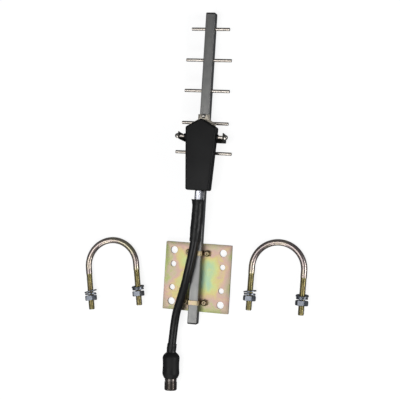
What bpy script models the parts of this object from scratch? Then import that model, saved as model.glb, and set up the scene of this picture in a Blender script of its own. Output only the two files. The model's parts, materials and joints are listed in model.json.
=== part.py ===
"""Yagi antenna for the 2 GHz band, laid out as a kit: the antenna on its clamp plate, a short coaxial
pigtail that ends in a jack, and the two loose U-bolts that clamp the plate to a mast.

Metres, +Z up. The origin is the centre of the clamp plate's back face. The boom runs along +Y towards
the directors, the feed housing faces +Z, and everything lies on the plane z = 0.
"""

import math

import bmesh
import bpy
from mathutils import Matrix, Vector

# Clearance between pieces that touch on the real object
GAP = 0.0003

# Clamp plate, and its M8 and M6 holes
PLATE_SIDE = 0.086
PLATE_THICK = 0.003
PLATE_HOLE_X = 0.032
LARGE_HOLE_Y = 0.0325
LARGE_HOLE_RADIUS = 0.0045
SMALL_HOLE_Y = 0.0148
SMALL_HOLE_RADIUS = 0.0035

# Square boom tube and its end caps
BOOM_SIDE = 0.012
BOOM_WALL = 0.001
BOOM_CORNER = 0.0006
BOOM_REAR = -0.058
BOOM_FRONT = 0.332
BOOM_LOW = PLATE_THICK + GAP
BOOM_TOP = BOOM_LOW + BOOM_SIDE
BOOM_AXIS_Z = BOOM_LOW + BOOM_SIDE / 2
CAP_FLANGE = 0.0015
CAP_PLUG = 0.007

# Round elements: place along the boom and whole length
ROD_RADIUS = 0.002
ROD_HOLE = ROD_RADIUS + GAP
ELEMENTS = {
    "reflector": (0.1567, 0.0725),
    "director_1": (0.1940, 0.0600),
    "director_2": (0.2345, 0.0580),
    "director_3": (0.2730, 0.0585),
    "director_4": (0.3120, 0.0490),
}

# Folded dipole: two front rods and one strip that runs back round the boom
DIPOLE_Y = 0.176
DIPOLE_Z = 0.024
DIPOLE_ROD_INNER = 0.003
DIPOLE_ROD_OUTER = 0.0315
STRIP_THICK = 0.0012
STRIP_WIDTH = 0.0086
STRIP_TAB_X = 0.0285
STRIP_CORNER_X = 0.0265
STRIP_TAB_TOP = 0.0283
STRIP_TAB_FOOT = 0.0180
STRIP_BACK_Z = 0.0024
STRIP_LEAN = 0.10
DOME_NUT_INNER = STRIP_TAB_X + STRIP_THICK / 2 + GAP
DOME_NUT_OUTER = 0.0338
DOME_NUT_RADIUS = 0.0034
STRIP_RIVET_PROFILE = [
    (0.0030, 0.0005),
    (0.0030, 0.0015),
    (0.0016, 0.0015),
    (0.0016, 0.0046),
    (0.0024, 0.0049),
    (0.0024, 0.0062),
    (0.0014, 0.0066),
]

# Feed bracket on the boom, and the two-part feed housing on the bracket
BRACKET_LOW = BOOM_TOP + GAP
BRACKET_THICK = 0.0012
BRACKET_TOP = BRACKET_LOW + BRACKET_THICK
BRACKET_RIGHT_EDGE = [
    (0.0125, 0.1140),
    (0.0155, 0.1780),
    (0.0155, 0.1930),
    (0.0075, 0.1980),
    (0.0075, 0.2043),
]
BRACKET_SCREW = (-0.0005, 0.2020)
BRACKET_SCREW_RADIUS = 0.0015
BRACKET_SCREW_END = 0.0100
BRACKET_SCREW_HEAD = [(0.0028, 0.0), (0.0028, 0.0010), (0.0022, 0.0019), (0.0010, 0.0023)]
BRACKET_RIVET_Y = 0.150
RIVET_RADIUS = 0.0016
RIVET_BULB = [(0.0014, -0.0034), (0.0024, -0.0030), (0.0024, -0.0016), (RIVET_RADIUS, -0.0013)]
RIVET_HEAD = [(0.0030, 0.0), (0.0026, 0.0010)]
HOUSING_LOW = BRACKET_TOP + GAP
HOUSING_BACK_THICK = 0.002
HOUSING_WALL = 0.002
HOUSING_FACE = 0.0303
HOUSING_EDGE = 0.0022
HOUSING_BOTTOM_Y = 0.1092
HOUSING_BOTTOM_HALF = 0.0153
HOUSING_SHOULDER_Y = 0.1875
HOUSING_SHOULDER_HALF = 0.0198
HOUSING_APEX_Y = 0.1985
HOUSING_CORNER = 0.0026
HOUSING_SOFT_CORNER = 0.0012
GASKET_LOW = HOUSING_LOW + HOUSING_BACK_THICK + GAP
GASKET_THICK = 0.0006
GASKET_INNER = 0.0015
SHELL_LOW = GASKET_LOW + GASKET_THICK + GAP
HOUSING_SCREWS = [(-0.0105, 0.1190), (0.0105, 0.1190), (-0.0110, 0.1845), (0.0110, 0.1845)]
HOUSING_SCREW_RADIUS = 0.00125
HOUSING_SCREW_HEAD = [(0.0014, -0.0016), (0.0024, -0.0011), (0.0024, 0.0)]
HOUSING_SCREW_REACH = 0.0056
HOUSING_POST_RADIUS = 0.0026
HOUSING_COLLAR_RADIUS = 0.0034
HOUSING_COLLAR_X = (0.0178, 0.0218)

# Inside the housing: matching board, and the block that holds the dipole rods
BOARD_THICK = 0.0012
BOARD_HALF = 0.0100
BOARD_Y = (0.1220, 0.1812)
BLOCK_HALF = 0.0070
BLOCK_Y = (0.1712, 0.1808)
BLOCK_BORE_LENGTH = 0.012

# Boom straps and their screws
STRAP_Y = 0.031
STRAP_WIDTH = 0.006
STRAP_THICK = 0.0012
STRAP_FOOT = 0.0160
STRAP_SCREW_X = 0.0120
STRAP_SCREW_RADIUS = 0.002
STRAP_WASHER_RADIUS = 0.0042
STRAP_WASHER_THICK = 0.0008
STRAP_HEAD_RADIUS = 0.0039
STRAP_HEAD_THICK = 0.003

# Coaxial pigtail: ferrule, route of the free cable, sleeves
CABLE_RADIUS = 0.00515
SLEEVE_BORE = CABLE_RADIUS + 2 * GAP
FERRULE_X = 0.001
FERRULE_Z = 0.0232
FERRULE_NECK_RADIUS = 0.0023
FERRULE_NECK_END = 0.117
FERRULE_END = 0.094
CABLE_ROUTE = [
    (0.0010, 0.0937, 0.0232),
    (0.0010, 0.0840, 0.0232),
    (0.0006, 0.0710, 0.0231),
    (0.0000, 0.0585, 0.0230),
    (-0.0011, 0.0457, 0.0228),
    (-0.0028, 0.0328, 0.0226),
    (-0.0048, 0.0200, 0.0225),
    (-0.0072, 0.0070, 0.0222),
    (-0.0098, -0.0060, 0.0208),
    (-0.0135, -0.0190, 0.0182),
    (-0.0174, -0.0320, 0.0153),
    (-0.0212, -0.0450, 0.0129),
    (-0.0232, -0.0580, 0.0115),
    (-0.0242, -0.0700, 0.0110),
    (-0.0251, -0.0855, 0.0109),
    (-0.0255, -0.0957, 0.0109),
]
ROUTE_STEPS = 2
SLEEVE_TOP_Y = 0.098
SLEEVE_LIP_RADIUS = 0.0088
SLEEVE_RADIUS = 0.0073
SLEEVE_TAPER_Y = 0.060
SLEEVE_END_Y = 0.0457
SLEEVE_END_RADIUS = 0.0062
END_SLEEVE_RADIUS = 0.00615
END_SLEEVE_Y = -0.0845

# Jack and its boot, turned about an axis that starts where the free cable ends
JACK_START = (-0.0255, -0.0963, 0.0109)
JACK_DIRECTION = (0.045, -1.0, 0.0)
BOOT_PROFILE = [
    (0.0064, 0.0000),
    (0.0086, 0.0020),
    (0.0102, 0.0042),
    (0.0108, 0.0062),
    (0.0104, 0.0140),
    (0.0105, 0.0200),
    (0.0108, 0.0260),
    (0.0104, 0.0280),
    (0.0092, 0.0306),
    (0.0086, 0.0320),
    (0.0070, 0.0320),
    (0.0070, 0.0137),
]
JACK_PROFILE = [
    (0.0067, 0.0140),
    (0.0067, 0.0323),
    (0.0075, 0.0323),
    (0.0075, 0.0355),
    (0.0070, 0.0359),
    (0.0070, 0.0364),
    (0.00794, 0.0369),
    (0.00794, 0.0460),
    (0.0072, 0.0470),
    (0.0041, 0.0470),
    (0.0041, 0.0360),
    (0.0019, 0.0360),
    (0.0019, 0.0327),
]
INSULATOR_PROFILE = [(0.0038, 0.0363), (0.0038, 0.0400), (0.0019, 0.0400), (0.0019, 0.0363)]
CONTACT_PROFILE = [(0.0016, 0.0330), (0.0016, 0.0455), (0.0008, 0.0455), (0.0008, 0.0420)]

# Loose M8 mast U-bolts: centre of the bend, turn about +Z, and loose hardware on each leg
BOLT_RADIUS = 0.004
BEND_RADIUS = 0.0325
LEG_LENGTH = 0.054
BOLT_TILT = math.radians(3.8)
NUT_FLATS = 0.014
NUT_THICK = 0.0065
NUT_BORE = 0.0044
SPRING_WASHER_RADIUS = 0.0073
SPRING_WASHER_THICK = 0.002
SPRING_WASHER_RISE = 0.0008
FLAT_WASHER_RADIUS = 0.008
FLAT_WASHER_THICK = 0.0016
U_BOLTS = {
    "left": ((-0.113, 0.0065), math.radians(9.8)),
    "right": ((0.1026, 0.019), math.radians(-0.3)),
}

# Hardware on each leg: how far its middle is from the leg's end, and in degrees how far a loose washer
# leans back from upright and to the side
LEG_HARDWARE = {
    "left": [("nut", 0.0150, 0, 0), ("spring_washer", 0.0200, 0, 0), ("flat_washer", 0.0236, 3, 9)],
    "right": [("nut", 0.0150, 0, 0), ("spring_washer", 0.0209, 9, 0), ("flat_washer", 0.0237, 12, 0)],
}

# Facets round each kind of turned piece. HEXAGON is a multiple of 6.
FINE = 20
PLAIN = 12
HEXAGON = 24


def clear_scene():
    for obj in list(bpy.data.objects):
        bpy.data.objects.remove(obj, do_unlink=True)


def material(name, colour, metallic, roughness):
    made = bpy.data.materials.new(name)
    made.use_nodes = True
    shader = made.node_tree.nodes["Principled BSDF"]
    shader.inputs["Base Color"].default_value = (*colour, 1.0)
    shader.inputs["Metallic"].default_value = metallic
    shader.inputs["Roughness"].default_value = roughness
    made.diffuse_color = (*colour, 1.0)
    return made


def lofted(rings, closed=False):
    """A mesh through rings of equally many points. It is capped at both ends, or joined into a loop."""
    bm = bmesh.new()
    made = [[bm.verts.new(point) for point in ring] for ring in rings]
    pairs = list(zip(made, made[1:]))
    if closed:
        pairs.append((made[-1], made[0]))
    else:
        bm.faces.new(made[0])
        bm.faces.new(made[-1])
    for first, second in pairs:
        for i in range(len(first)):
            j = (i + 1) % len(first)
            bm.faces.new((first[i], first[j], second[j], second[i]))
    bmesh.ops.recalc_face_normals(bm, faces=bm.faces)
    mesh = bpy.data.meshes.new("mesh")
    bm.to_mesh(mesh)
    bm.free()
    return mesh


def circle(radius, height, segments):
    turn = 2 * math.pi / segments
    return [(radius * math.cos(i * turn), radius * math.sin(i * turn), height) for i in range(segments)]


def turned(profile, segments=PLAIN, closed=False):
    """A mesh turned about Z from (radius, height) points, with capped ends or a bore."""
    return lofted([circle(radius, height, segments) for radius, height in profile], closed)


def prism(outline, low, high):
    return lofted([[(x, y, z) for x, y in outline] for z in (low, high)])


def rectangle(half_width, y_range):
    low, high = y_range
    return [(-half_width, low), (half_width, low), (half_width, high), (-half_width, high)]


def add(name, mesh, finish, location=(0, 0, 0), rotation=None, parent=None, smooth=False):
    mesh.name = name
    obj = bpy.data.objects.new(name, mesh)
    bpy.context.scene.collection.objects.link(obj)
    obj.parent = parent
    obj.location = location
    if rotation is not None:
        obj.rotation_euler = rotation
    if finish is not None:
        mesh.materials.append(finish)
    if smooth:
        mesh.shade_smooth()
        mesh.set_sharp_from_angle(angle=math.radians(35))
    return obj


def boolean(obj, helper, operation):
    helper.hide_render = True
    helper.display_type = "WIRE"
    modifier = obj.modifiers.new(helper.name, "BOOLEAN")
    modifier.operation = operation
    modifier.object = helper


def drill(obj, name, holes):
    """Cuts round holes, each given by a middle point, an axis, a radius and a length."""
    bm = bmesh.new()
    for middle, axis, radius, length in holes:
        turn = Vector(axis).to_track_quat("Z", "Y").to_matrix().to_4x4()
        bmesh.ops.create_cone(
            bm,
            cap_ends=True,
            segments=PLAIN,
            radius1=radius,
            radius2=radius,
            depth=length,
            matrix=Matrix.Translation(middle) @ turn,
        )
    mesh = bpy.data.meshes.new(name)
    bm.to_mesh(mesh)
    bm.free()
    boolean(obj, add(name, mesh, None), "DIFFERENCE")


def weld_on(obj, name, mesh):
    boolean(obj, add(name, mesh, None), "UNION")


def arc(centre, radius, start, end, steps):
    """Points on an arc between two angles in degrees."""
    angles = [math.radians(start + (end - start) * i / steps) for i in range(steps + 1)]
    return [(centre[0] + radius * math.cos(a), centre[1] + radius * math.sin(a)) for a in angles]


def rounded_square(side, corner):
    half = side / 2 - corner
    outline = []
    for i, (sx, sy) in enumerate([(1, 1), (-1, 1), (-1, -1), (1, -1)]):
        outline += arc((sx * half, sy * half), corner, 90 * i, 90 * i + 90, 2)
    return outline


def rod(name, finish, length, location):
    """A round rod along X, centred on its location, with broken edges."""
    half = length / 2
    edge = 0.0003
    profile = [
        (ROD_RADIUS - edge, -half),
        (ROD_RADIUS, edge - half),
        (ROD_RADIUS, half - edge),
        (ROD_RADIUS - edge, half),
    ]
    return add(name, turned(profile), finish, location, (0, math.pi / 2, 0), smooth=True)


def make_boom(finish, cap_finish):
    """The tube with a cross hole for each element, and a plug with a flange in each end."""
    rear = BOOM_REAR + CAP_FLANGE + GAP
    front = BOOM_FRONT - CAP_FLANGE - GAP
    outer = rounded_square(BOOM_SIDE, BOOM_CORNER)
    inner = rounded_square(BOOM_SIDE - 2 * BOOM_WALL, BOOM_CORNER / 2)
    sections = [(outer, rear), (outer, front), (inner, front), (inner, rear)]
    rings = [[(x, y, z + BOOM_AXIS_Z) for x, z in outline] for outline, y in sections]
    boom = add("boom_tube", lofted(rings, closed=True), finish)
    holes = [((0, y, BOOM_AXIS_Z), (1, 0, 0), ROD_HOLE, 2 * BOOM_SIDE) for y, _ in ELEMENTS.values()]
    top_wall = BOOM_TOP - BOOM_WALL / 2
    low_wall = BOOM_LOW + BOOM_WALL / 2
    holes += [
        ((*BRACKET_SCREW, top_wall), (0, 0, 1), BRACKET_SCREW_RADIUS + GAP, 3 * BOOM_WALL),
        ((0, BRACKET_RIVET_Y, top_wall), (0, 0, 1), RIVET_RADIUS + GAP, 3 * BOOM_WALL),
        ((0, strip_y(STRIP_BACK_Z), low_wall), (0, 0, 1), RIVET_RADIUS + GAP, 3 * BOOM_WALL),
    ]
    drill(boom, "boom_holes", holes)
    plug = rounded_square(BOOM_SIDE - 2 * BOOM_WALL - 2 * GAP, BOOM_CORNER / 2)
    for name, face, inward in [("front_end_cap", BOOM_FRONT, -1), ("rear_end_cap", BOOM_REAR, 1)]:
        shoulder = face + inward * CAP_FLANGE
        end = shoulder + inward * CAP_PLUG
        sections = [(outer, face), (outer, shoulder), (plug, shoulder), (plug, end)]
        rings = [[(x, y, z + BOOM_AXIS_Z) for x, z in outline] for outline, y in sections]
        add(name, lofted(rings), cap_finish)


def make_elements(finish):
    for name, (y, length) in ELEMENTS.items():
        rod(name, finish, length, (0, y, BOOM_AXIS_Z))


def strip_y(z):
    """The middle of the dipole strip's width, which leans back a little towards the reflector."""
    return DIPOLE_Y + 0.0005 - STRIP_LEAN * (DIPOLE_Z - z)


def make_dipole(rod_finish, strip_finish, nut_finish):
    """Two rods through the housing, tied by a strip behind the boom with a dome nut at each end."""
    length = DIPOLE_ROD_OUTER - DIPOLE_ROD_INNER
    middle = (DIPOLE_ROD_OUTER + DIPOLE_ROD_INNER) / 2
    half = STRIP_THICK / 2
    right = [
        (STRIP_CORNER_X, STRIP_BACK_Z - half),
        (STRIP_TAB_X + half, STRIP_TAB_FOOT),
        (STRIP_TAB_X + half, STRIP_TAB_TOP),
        (STRIP_TAB_X - half, STRIP_TAB_TOP),
        (STRIP_TAB_X - half, STRIP_TAB_FOOT),
        (STRIP_CORNER_X - STRIP_THICK, STRIP_BACK_Z + half),
    ]
    outline = right + [(-x, z) for x, z in reversed(right)]
    rings = []
    for side in (-STRIP_WIDTH / 2, STRIP_WIDTH / 2):
        rings.append([(x, strip_y(z) + side, z) for x, z in outline])
    strip = add("dipole_strip", lofted(rings), strip_finish)
    drill(
        strip,
        "strip_holes",
        [
            ((0, DIPOLE_Y, DIPOLE_Z), (1, 0, 0), ROD_HOLE, 3 * STRIP_TAB_X),
            ((0, strip_y(STRIP_BACK_Z), STRIP_BACK_Z), (0, 0, 1), RIVET_RADIUS + GAP, 4 * STRIP_THICK),
        ],
    )
    place = (0, strip_y(STRIP_BACK_Z), 0)
    add("dipole_strip_rivet", turned(STRIP_RIVET_PROFILE), nut_finish, place, smooth=True)
    reach = DOME_NUT_OUTER - DOME_NUT_INNER
    dome = [
        (ROD_HOLE, 0.0),
        (DOME_NUT_RADIUS, 0.0),
        (DOME_NUT_RADIUS, 0.42 * reach),
        (0.86 * DOME_NUT_RADIUS, 0.66 * reach),
        (0.58 * DOME_NUT_RADIUS, 0.88 * reach),
        (0.22 * DOME_NUT_RADIUS, reach),
    ]
    bore = [(ROD_HOLE, DIPOLE_ROD_OUTER + GAP - DOME_NUT_INNER)]
    for name, side in [("left", -1), ("right", 1)]:
        rod(f"dipole_rod_{name}", rod_finish, length, (side * middle, DIPOLE_Y, DIPOLE_Z))
        turn = (0, side * math.pi / 2, 0)
        place = (side * DOME_NUT_INNER, DIPOLE_Y, DIPOLE_Z)
        add(f"dipole_dome_nut_{name}", turned(bore + dome), nut_finish, place, turn, smooth=True)


def inset(outline, distance):
    """A convex outline, listed anticlockwise, with every side moved inwards."""
    count = len(outline)
    result = []
    for i in range(count):
        before = Vector(outline[i - 1])
        here = Vector(outline[i])
        after = Vector(outline[(i + 1) % count])
        arriving = (here - before).normalized()
        leaving = (after - here).normalized()
        normal_in = Vector((-arriving.y, arriving.x))
        normal_out = Vector((-leaving.y, leaving.x))
        mitre = (normal_in + normal_out).normalized()
        moved = here + mitre * distance / mitre.dot(normal_in)
        result.append((moved.x, moved.y))
    return result


def housing_outline():
    """The feed housing's five-sided outline, with rounded bottom corners and softened shoulders."""
    bottom = HOUSING_BOTTOM_Y + HOUSING_CORNER
    side = HOUSING_BOTTOM_HALF - HOUSING_CORNER
    soft = HOUSING_SOFT_CORNER
    roof_slope = (HOUSING_APEX_Y - HOUSING_SHOULDER_Y) / HOUSING_SHOULDER_HALF
    right = arc((side, bottom), HOUSING_CORNER, -90, 0, 3)
    right += [
        (HOUSING_SHOULDER_HALF, HOUSING_SHOULDER_Y - soft),
        (HOUSING_SHOULDER_HALF - soft, HOUSING_SHOULDER_Y + soft * roof_slope),
        (soft, HOUSING_APEX_Y - soft * roof_slope),
    ]
    return right + [(-x, y) for x, y in reversed(right)]


def make_bracket(finish, screw_finish):
    """The sheet-metal bracket between boom and housing, with its screw and its blind rivet."""
    outline = BRACKET_RIGHT_EDGE + [(-x, y) for x, y in reversed(BRACKET_RIGHT_EDGE)]
    bracket = add("feed_bracket", prism(outline, BRACKET_LOW, BRACKET_TOP), finish)
    middle = (BRACKET_LOW + BRACKET_TOP) / 2
    length = 3 * BRACKET_THICK
    clearance = HOUSING_SCREW_RADIUS + GAP
    holes = [((x, y, middle), (0, 0, 1), clearance, length) for x, y in HOUSING_SCREWS]
    holes.append(((*BRACKET_SCREW, middle), (0, 0, 1), BRACKET_SCREW_RADIUS + GAP, length))
    holes.append(((0, BRACKET_RIVET_Y, middle), (0, 0, 1), RIVET_RADIUS + GAP, length))
    drill(bracket, "bracket_holes", holes)
    seat = BRACKET_TOP + GAP
    screw = [(BRACKET_SCREW_RADIUS, BRACKET_SCREW_END), (BRACKET_SCREW_RADIUS, seat)]
    screw += [(radius, seat + height) for radius, height in BRACKET_SCREW_HEAD]
    add("bracket_screw", turned(screw), screw_finish, (*BRACKET_SCREW, 0), smooth=True)
    rivet = [(radius, BOOM_TOP + height) for radius, height in RIVET_BULB]
    rivet.append((RIVET_RADIUS, seat))
    rivet += [(radius, seat + height) for radius, height in RIVET_HEAD]
    add("bracket_rivet", turned(rivet), screw_finish, (0, BRACKET_RIVET_Y, 0), smooth=True)


def make_housing(shell_finish, gasket_finish, screw_finish):
    """Back plate, gasket ring and front shell, held together by four screws from behind."""
    outline = housing_outline()

    def ring(distance, z):
        return [(x, y, z) for x, y in inset(outline, distance)]

    clearance = HOUSING_SCREW_RADIUS + GAP
    back_top = HOUSING_LOW + HOUSING_BACK_THICK
    spigot = GASKET_INNER + GAP
    back_rings = [
        ring(0.0005, HOUSING_LOW),
        ring(0.0, HOUSING_LOW + 0.0005),
        ring(0.0, back_top),
        ring(spigot, back_top),
        ring(spigot, SHELL_LOW - GAP),
    ]
    back = add("housing_back", lofted(back_rings), shell_finish)
    middle = (HOUSING_LOW + SHELL_LOW) / 2
    length = 3 * HOUSING_BACK_THICK
    rivet_pocket = RIVET_HEAD[0][0] + 2 * GAP
    holes = [((x, y, middle), (0, 0, 1), clearance, length) for x, y in HOUSING_SCREWS]
    holes.append(((0, BRACKET_RIVET_Y, middle), (0, 0, 1), rivet_pocket, length))
    drill(back, "housing_back_holes", holes)

    gasket_top = GASKET_LOW + GASKET_THICK
    gasket_rings = [
        ring(0.0004, GASKET_LOW),
        ring(0.0004, gasket_top),
        ring(GASKET_INNER, gasket_top),
        ring(GASKET_INNER, GASKET_LOW),
    ]
    add("housing_gasket", lofted(gasket_rings, closed=True), gasket_finish)

    inside = HOUSING_FACE - HOUSING_WALL
    shell_rings = [
        ring(HOUSING_WALL, inside),
        ring(HOUSING_WALL, SHELL_LOW),
        ring(0.0, SHELL_LOW),
        ring(0.0, HOUSING_FACE - HOUSING_EDGE),
        ring(0.3 * HOUSING_EDGE, HOUSING_FACE - 0.3 * HOUSING_EDGE),
        ring(HOUSING_EDGE, HOUSING_FACE),
    ]
    shell = add("housing_front", lofted(shell_rings), shell_finish)
    post_top = inside + HOUSING_WALL / 2
    for i, (x, y) in enumerate(HOUSING_SCREWS, 1):
        post = turned([(HOUSING_POST_RADIUS, SHELL_LOW), (HOUSING_POST_RADIUS, post_top)])
        post.transform(Matrix.Translation((x, y, 0)))
        weld_on(shell, f"housing_post_{i}", post)
    for name, side in [("left", -1), ("right", 1)]:
        collar = turned([(HOUSING_COLLAR_RADIUS, x) for x in HOUSING_COLLAR_X])
        collar.transform(Matrix.Rotation(side * math.pi / 2, 4, "Y"))
        collar.transform(Matrix.Translation((0, DIPOLE_Y, DIPOLE_Z)))
        weld_on(shell, f"housing_collar_{name}", collar)
    depth = 2 * (HOUSING_SCREW_REACH + 2 * GAP)
    holes = [((x, y, SHELL_LOW), (0, 0, 1), clearance, depth) for x, y in HOUSING_SCREWS]
    holes.append(((0, DIPOLE_Y, DIPOLE_Z), (1, 0, 0), ROD_HOLE, 4 * HOUSING_SHOULDER_HALF))
    neck_hole = FERRULE_NECK_RADIUS + GAP
    holes.append(((FERRULE_X, HOUSING_BOTTOM_Y, FERRULE_Z), (0, 1, 0), neck_hole, 4 * HOUSING_WALL))
    drill(shell, "housing_front_holes", holes)

    seat = BRACKET_LOW - GAP
    screw = [(radius, seat + height) for radius, height in HOUSING_SCREW_HEAD]
    screw += [(HOUSING_SCREW_RADIUS, seat), (HOUSING_SCREW_RADIUS, SHELL_LOW + HOUSING_SCREW_REACH)]
    for i, (x, y) in enumerate(HOUSING_SCREWS, 1):
        add(f"housing_screw_{i}", turned(screw), screw_finish, (x, y, 0), smooth=True)


def make_feed(board_finish, insulator_finish):
    """Inside the housing: the matching board and the block that holds the two dipole rods apart."""
    board_top = SHELL_LOW + BOARD_THICK
    add("balun_board", prism(rectangle(BOARD_HALF, BOARD_Y), SHELL_LOW, board_top), board_finish)
    high = HOUSING_FACE - HOUSING_WALL - GAP
    block = prism(rectangle(BLOCK_HALF, BLOCK_Y), board_top + GAP, high)
    insulator = add("feed_insulator", block, insulator_finish)
    middle = DIPOLE_ROD_INNER - GAP + BLOCK_BORE_LENGTH / 2
    holes = []
    for x in (-middle, middle):
        holes.append(((x, DIPOLE_Y, DIPOLE_Z), (1, 0, 0), ROD_HOLE, BLOCK_BORE_LENGTH))
    drill(insulator, "insulator_bores", holes)


def make_plate(finish):
    """The square clamp plate, with four M8 holes, four M6 holes and the strap screws' holes."""
    half = PLATE_SIDE / 2
    plate = add("mounting_plate", prism(rectangle(half, (-half, half)), 0.0, PLATE_THICK), finish)
    rows = [
        (PLATE_HOLE_X, LARGE_HOLE_Y, LARGE_HOLE_RADIUS),
        (PLATE_HOLE_X, SMALL_HOLE_Y, SMALL_HOLE_RADIUS),
        (STRAP_SCREW_X, STRAP_Y, STRAP_SCREW_RADIUS + GAP),
    ]
    holes = []
    for x, y, radius in rows:
        for sx, sy in [(-1, -1), (1, -1), (-1, 1), (1, 1)]:
            holes.append(((sx * x, sy * y, PLATE_THICK / 2), (0, 0, 1), radius, 3 * PLATE_THICK))
    drill(plate, "plate_holes", holes)


def make_straps(strap_finish, screw_finish):
    """Two narrow saddle straps over the boom, each with two screws and plain washers."""
    inner = BOOM_SIDE / 2 + GAP
    outer = inner + STRAP_THICK
    foot_low = PLATE_THICK + GAP
    foot_top = foot_low + STRAP_THICK
    crown_low = BOOM_TOP + GAP
    crown_top = crown_low + STRAP_THICK
    right = [
        (inner, crown_low),
        (inner, foot_low),
        (STRAP_FOOT, foot_low),
        (STRAP_FOOT, foot_top),
        (outer, foot_top),
        (outer, crown_top),
    ]
    outline = right + [(-x, z) for x, z in reversed(right)]
    washer_low = foot_top + GAP
    washer_top = washer_low + STRAP_WASHER_THICK
    bore = STRAP_SCREW_RADIUS + GAP
    washer = [
        (STRAP_WASHER_RADIUS, washer_low),
        (STRAP_WASHER_RADIUS, washer_top),
        (bore, washer_top),
        (bore, washer_low),
    ]
    seat = washer_top + GAP
    screw = [
        (STRAP_SCREW_RADIUS, GAP),
        (STRAP_SCREW_RADIUS, seat),
        (STRAP_HEAD_RADIUS, seat),
        (STRAP_HEAD_RADIUS, seat + 0.45 * STRAP_HEAD_THICK),
        (0.82 * STRAP_HEAD_RADIUS, seat + 0.8 * STRAP_HEAD_THICK),
        (0.45 * STRAP_HEAD_RADIUS, seat + STRAP_HEAD_THICK),
    ]
    for row, y in [("front", STRAP_Y), ("rear", -STRAP_Y)]:
        sides = (y - STRAP_WIDTH / 2, y + STRAP_WIDTH / 2)
        band = lofted([[(x, side, z) for x, z in outline] for side in sides])
        strap = add(f"boom_strap_{row}", band, strap_finish)
        holes = []
        for x in (-STRAP_SCREW_X, STRAP_SCREW_X):
            holes.append(((x, y, foot_low), (0, 0, 1), bore, 4 * STRAP_THICK))
        drill(strap, f"strap_holes_{row}", holes)
        for side, x in [("left", -STRAP_SCREW_X), ("right", STRAP_SCREW_X)]:
            ring = turned(washer, closed=True)
            add(f"strap_washer_{row}_{side}", ring, screw_finish, (x, y, 0), smooth=True)
            add(f"strap_screw_{row}_{side}", turned(screw), screw_finish, (x, y, 0), smooth=True)


def smooth_route(points, steps):
    """Points on a Catmull-Rom curve through the given ones."""
    points = [Vector(point) for point in points]
    padded = [2 * points[0] - points[1], *points, 2 * points[-1] - points[-2]]
    result = []
    for a, b, c, d in zip(padded, padded[1:], padded[2:], padded[3:]):
        slope = c - a
        bend = 2 * a - 5 * b + 4 * c - d
        twist = 3 * b - a - 3 * c + d
        for i in range(steps):
            t = i / steps
            result.append(0.5 * (2 * b + slope * t + bend * t**2 + twist * t**3))
    return result + [points[-1]]


def tube_curve(name, points, radius, resolution, finish, parent=None):
    """A round tube with filled ends along a chain of points."""
    curve = bpy.data.curves.new(name, "CURVE")
    curve.dimensions = "3D"
    curve.bevel_depth = radius
    curve.bevel_resolution = resolution
    curve.use_fill_caps = True
    spline = curve.splines.new("POLY")
    spline.points.add(len(points) - 1)
    for target, point in zip(spline.points, points):
        target.co = (*point, 1.0)
    curve.materials.append(finish)
    obj = bpy.data.objects.new(name, curve)
    bpy.context.scene.collection.objects.link(obj)
    obj.parent = parent
    return obj


def ring_across(centre, along, radius, lowest):
    """A circle across a direction, kept above a height."""
    side = along.cross(Vector((0, 0, 1))).normalized()
    up = side.cross(along)
    ring = []
    for x, y, _ in circle(radius, 0.0, PLAIN):
        point = centre + side * x + up * y
        point.z = max(point.z, lowest)
        ring.append(point)
    return ring


def sleeve(name, path, outer_radius, lowest, finish):
    """A tube round the cable, whose outer radius is a function of the height Y."""
    rings = []
    ends = [path[0], *path, path[-1]]
    directions = [(ends[i + 2] - ends[i]).normalized() for i in range(len(path))]
    stations = list(zip(path, directions))
    for centre, along in stations:
        rings.append(ring_across(centre, along, outer_radius(centre.y), lowest))
    for centre, along in reversed(stations):
        rings.append(ring_across(centre, along, SLEEVE_BORE, lowest))
    add(name, lofted(rings, closed=True), finish, smooth=True)


def sleeve_radius(y):
    """A flared lip next to the ferrule, a plain stretch, then a taper down to the cable."""
    lip = max(0.0, 1.0 - (SLEEVE_TOP_Y - y) / 0.006)
    taper = min(1.0, max(0.0, (SLEEVE_TAPER_Y - y) / (SLEEVE_TAPER_Y - SLEEVE_END_Y)))
    radius = SLEEVE_RADIUS + (SLEEVE_LIP_RADIUS - SLEEVE_RADIUS) * lip**2
    return radius + (SLEEVE_END_RADIUS - SLEEVE_RADIUS) * taper


def make_cable(metal_finish, cable_finish, sleeve_finish):
    """Crimp ferrule out of the housing, free cable, and a heat-shrink sleeve near each end."""
    shoulder = HOUSING_BOTTOM_Y - GAP
    ferrule = [
        (FERRULE_NECK_RADIUS, 0.0),
        (FERRULE_NECK_RADIUS, FERRULE_NECK_END - shoulder),
        (CABLE_RADIUS, FERRULE_NECK_END - shoulder),
        (CABLE_RADIUS, FERRULE_NECK_END - FERRULE_END),
    ]
    place = (FERRULE_X, FERRULE_NECK_END, FERRULE_Z)
    add("cable_ferrule", turned(ferrule, FINE), metal_finish, place, (math.pi / 2, 0, 0), smooth=True)
    route = smooth_route(CABLE_ROUTE, ROUTE_STEPS)
    tube_curve("coax_cable", route, CABLE_RADIUS, 4, cable_finish)
    top = [Vector((FERRULE_X, SLEEVE_TOP_Y - 0.0015 * i, FERRULE_Z)) for i in range(3)]
    upper = top + [point for point in route if point.y >= SLEEVE_END_Y - 0.0001]
    sleeve("cable_sleeve", upper, sleeve_radius, BOOM_TOP + GAP, sleeve_finish)
    lower = [point for point in route if point.y <= END_SLEEVE_Y - 0.0005]
    sleeve("cable_end_sleeve", lower, lambda y: END_SLEEVE_RADIUS, 0.0, sleeve_finish)


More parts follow.
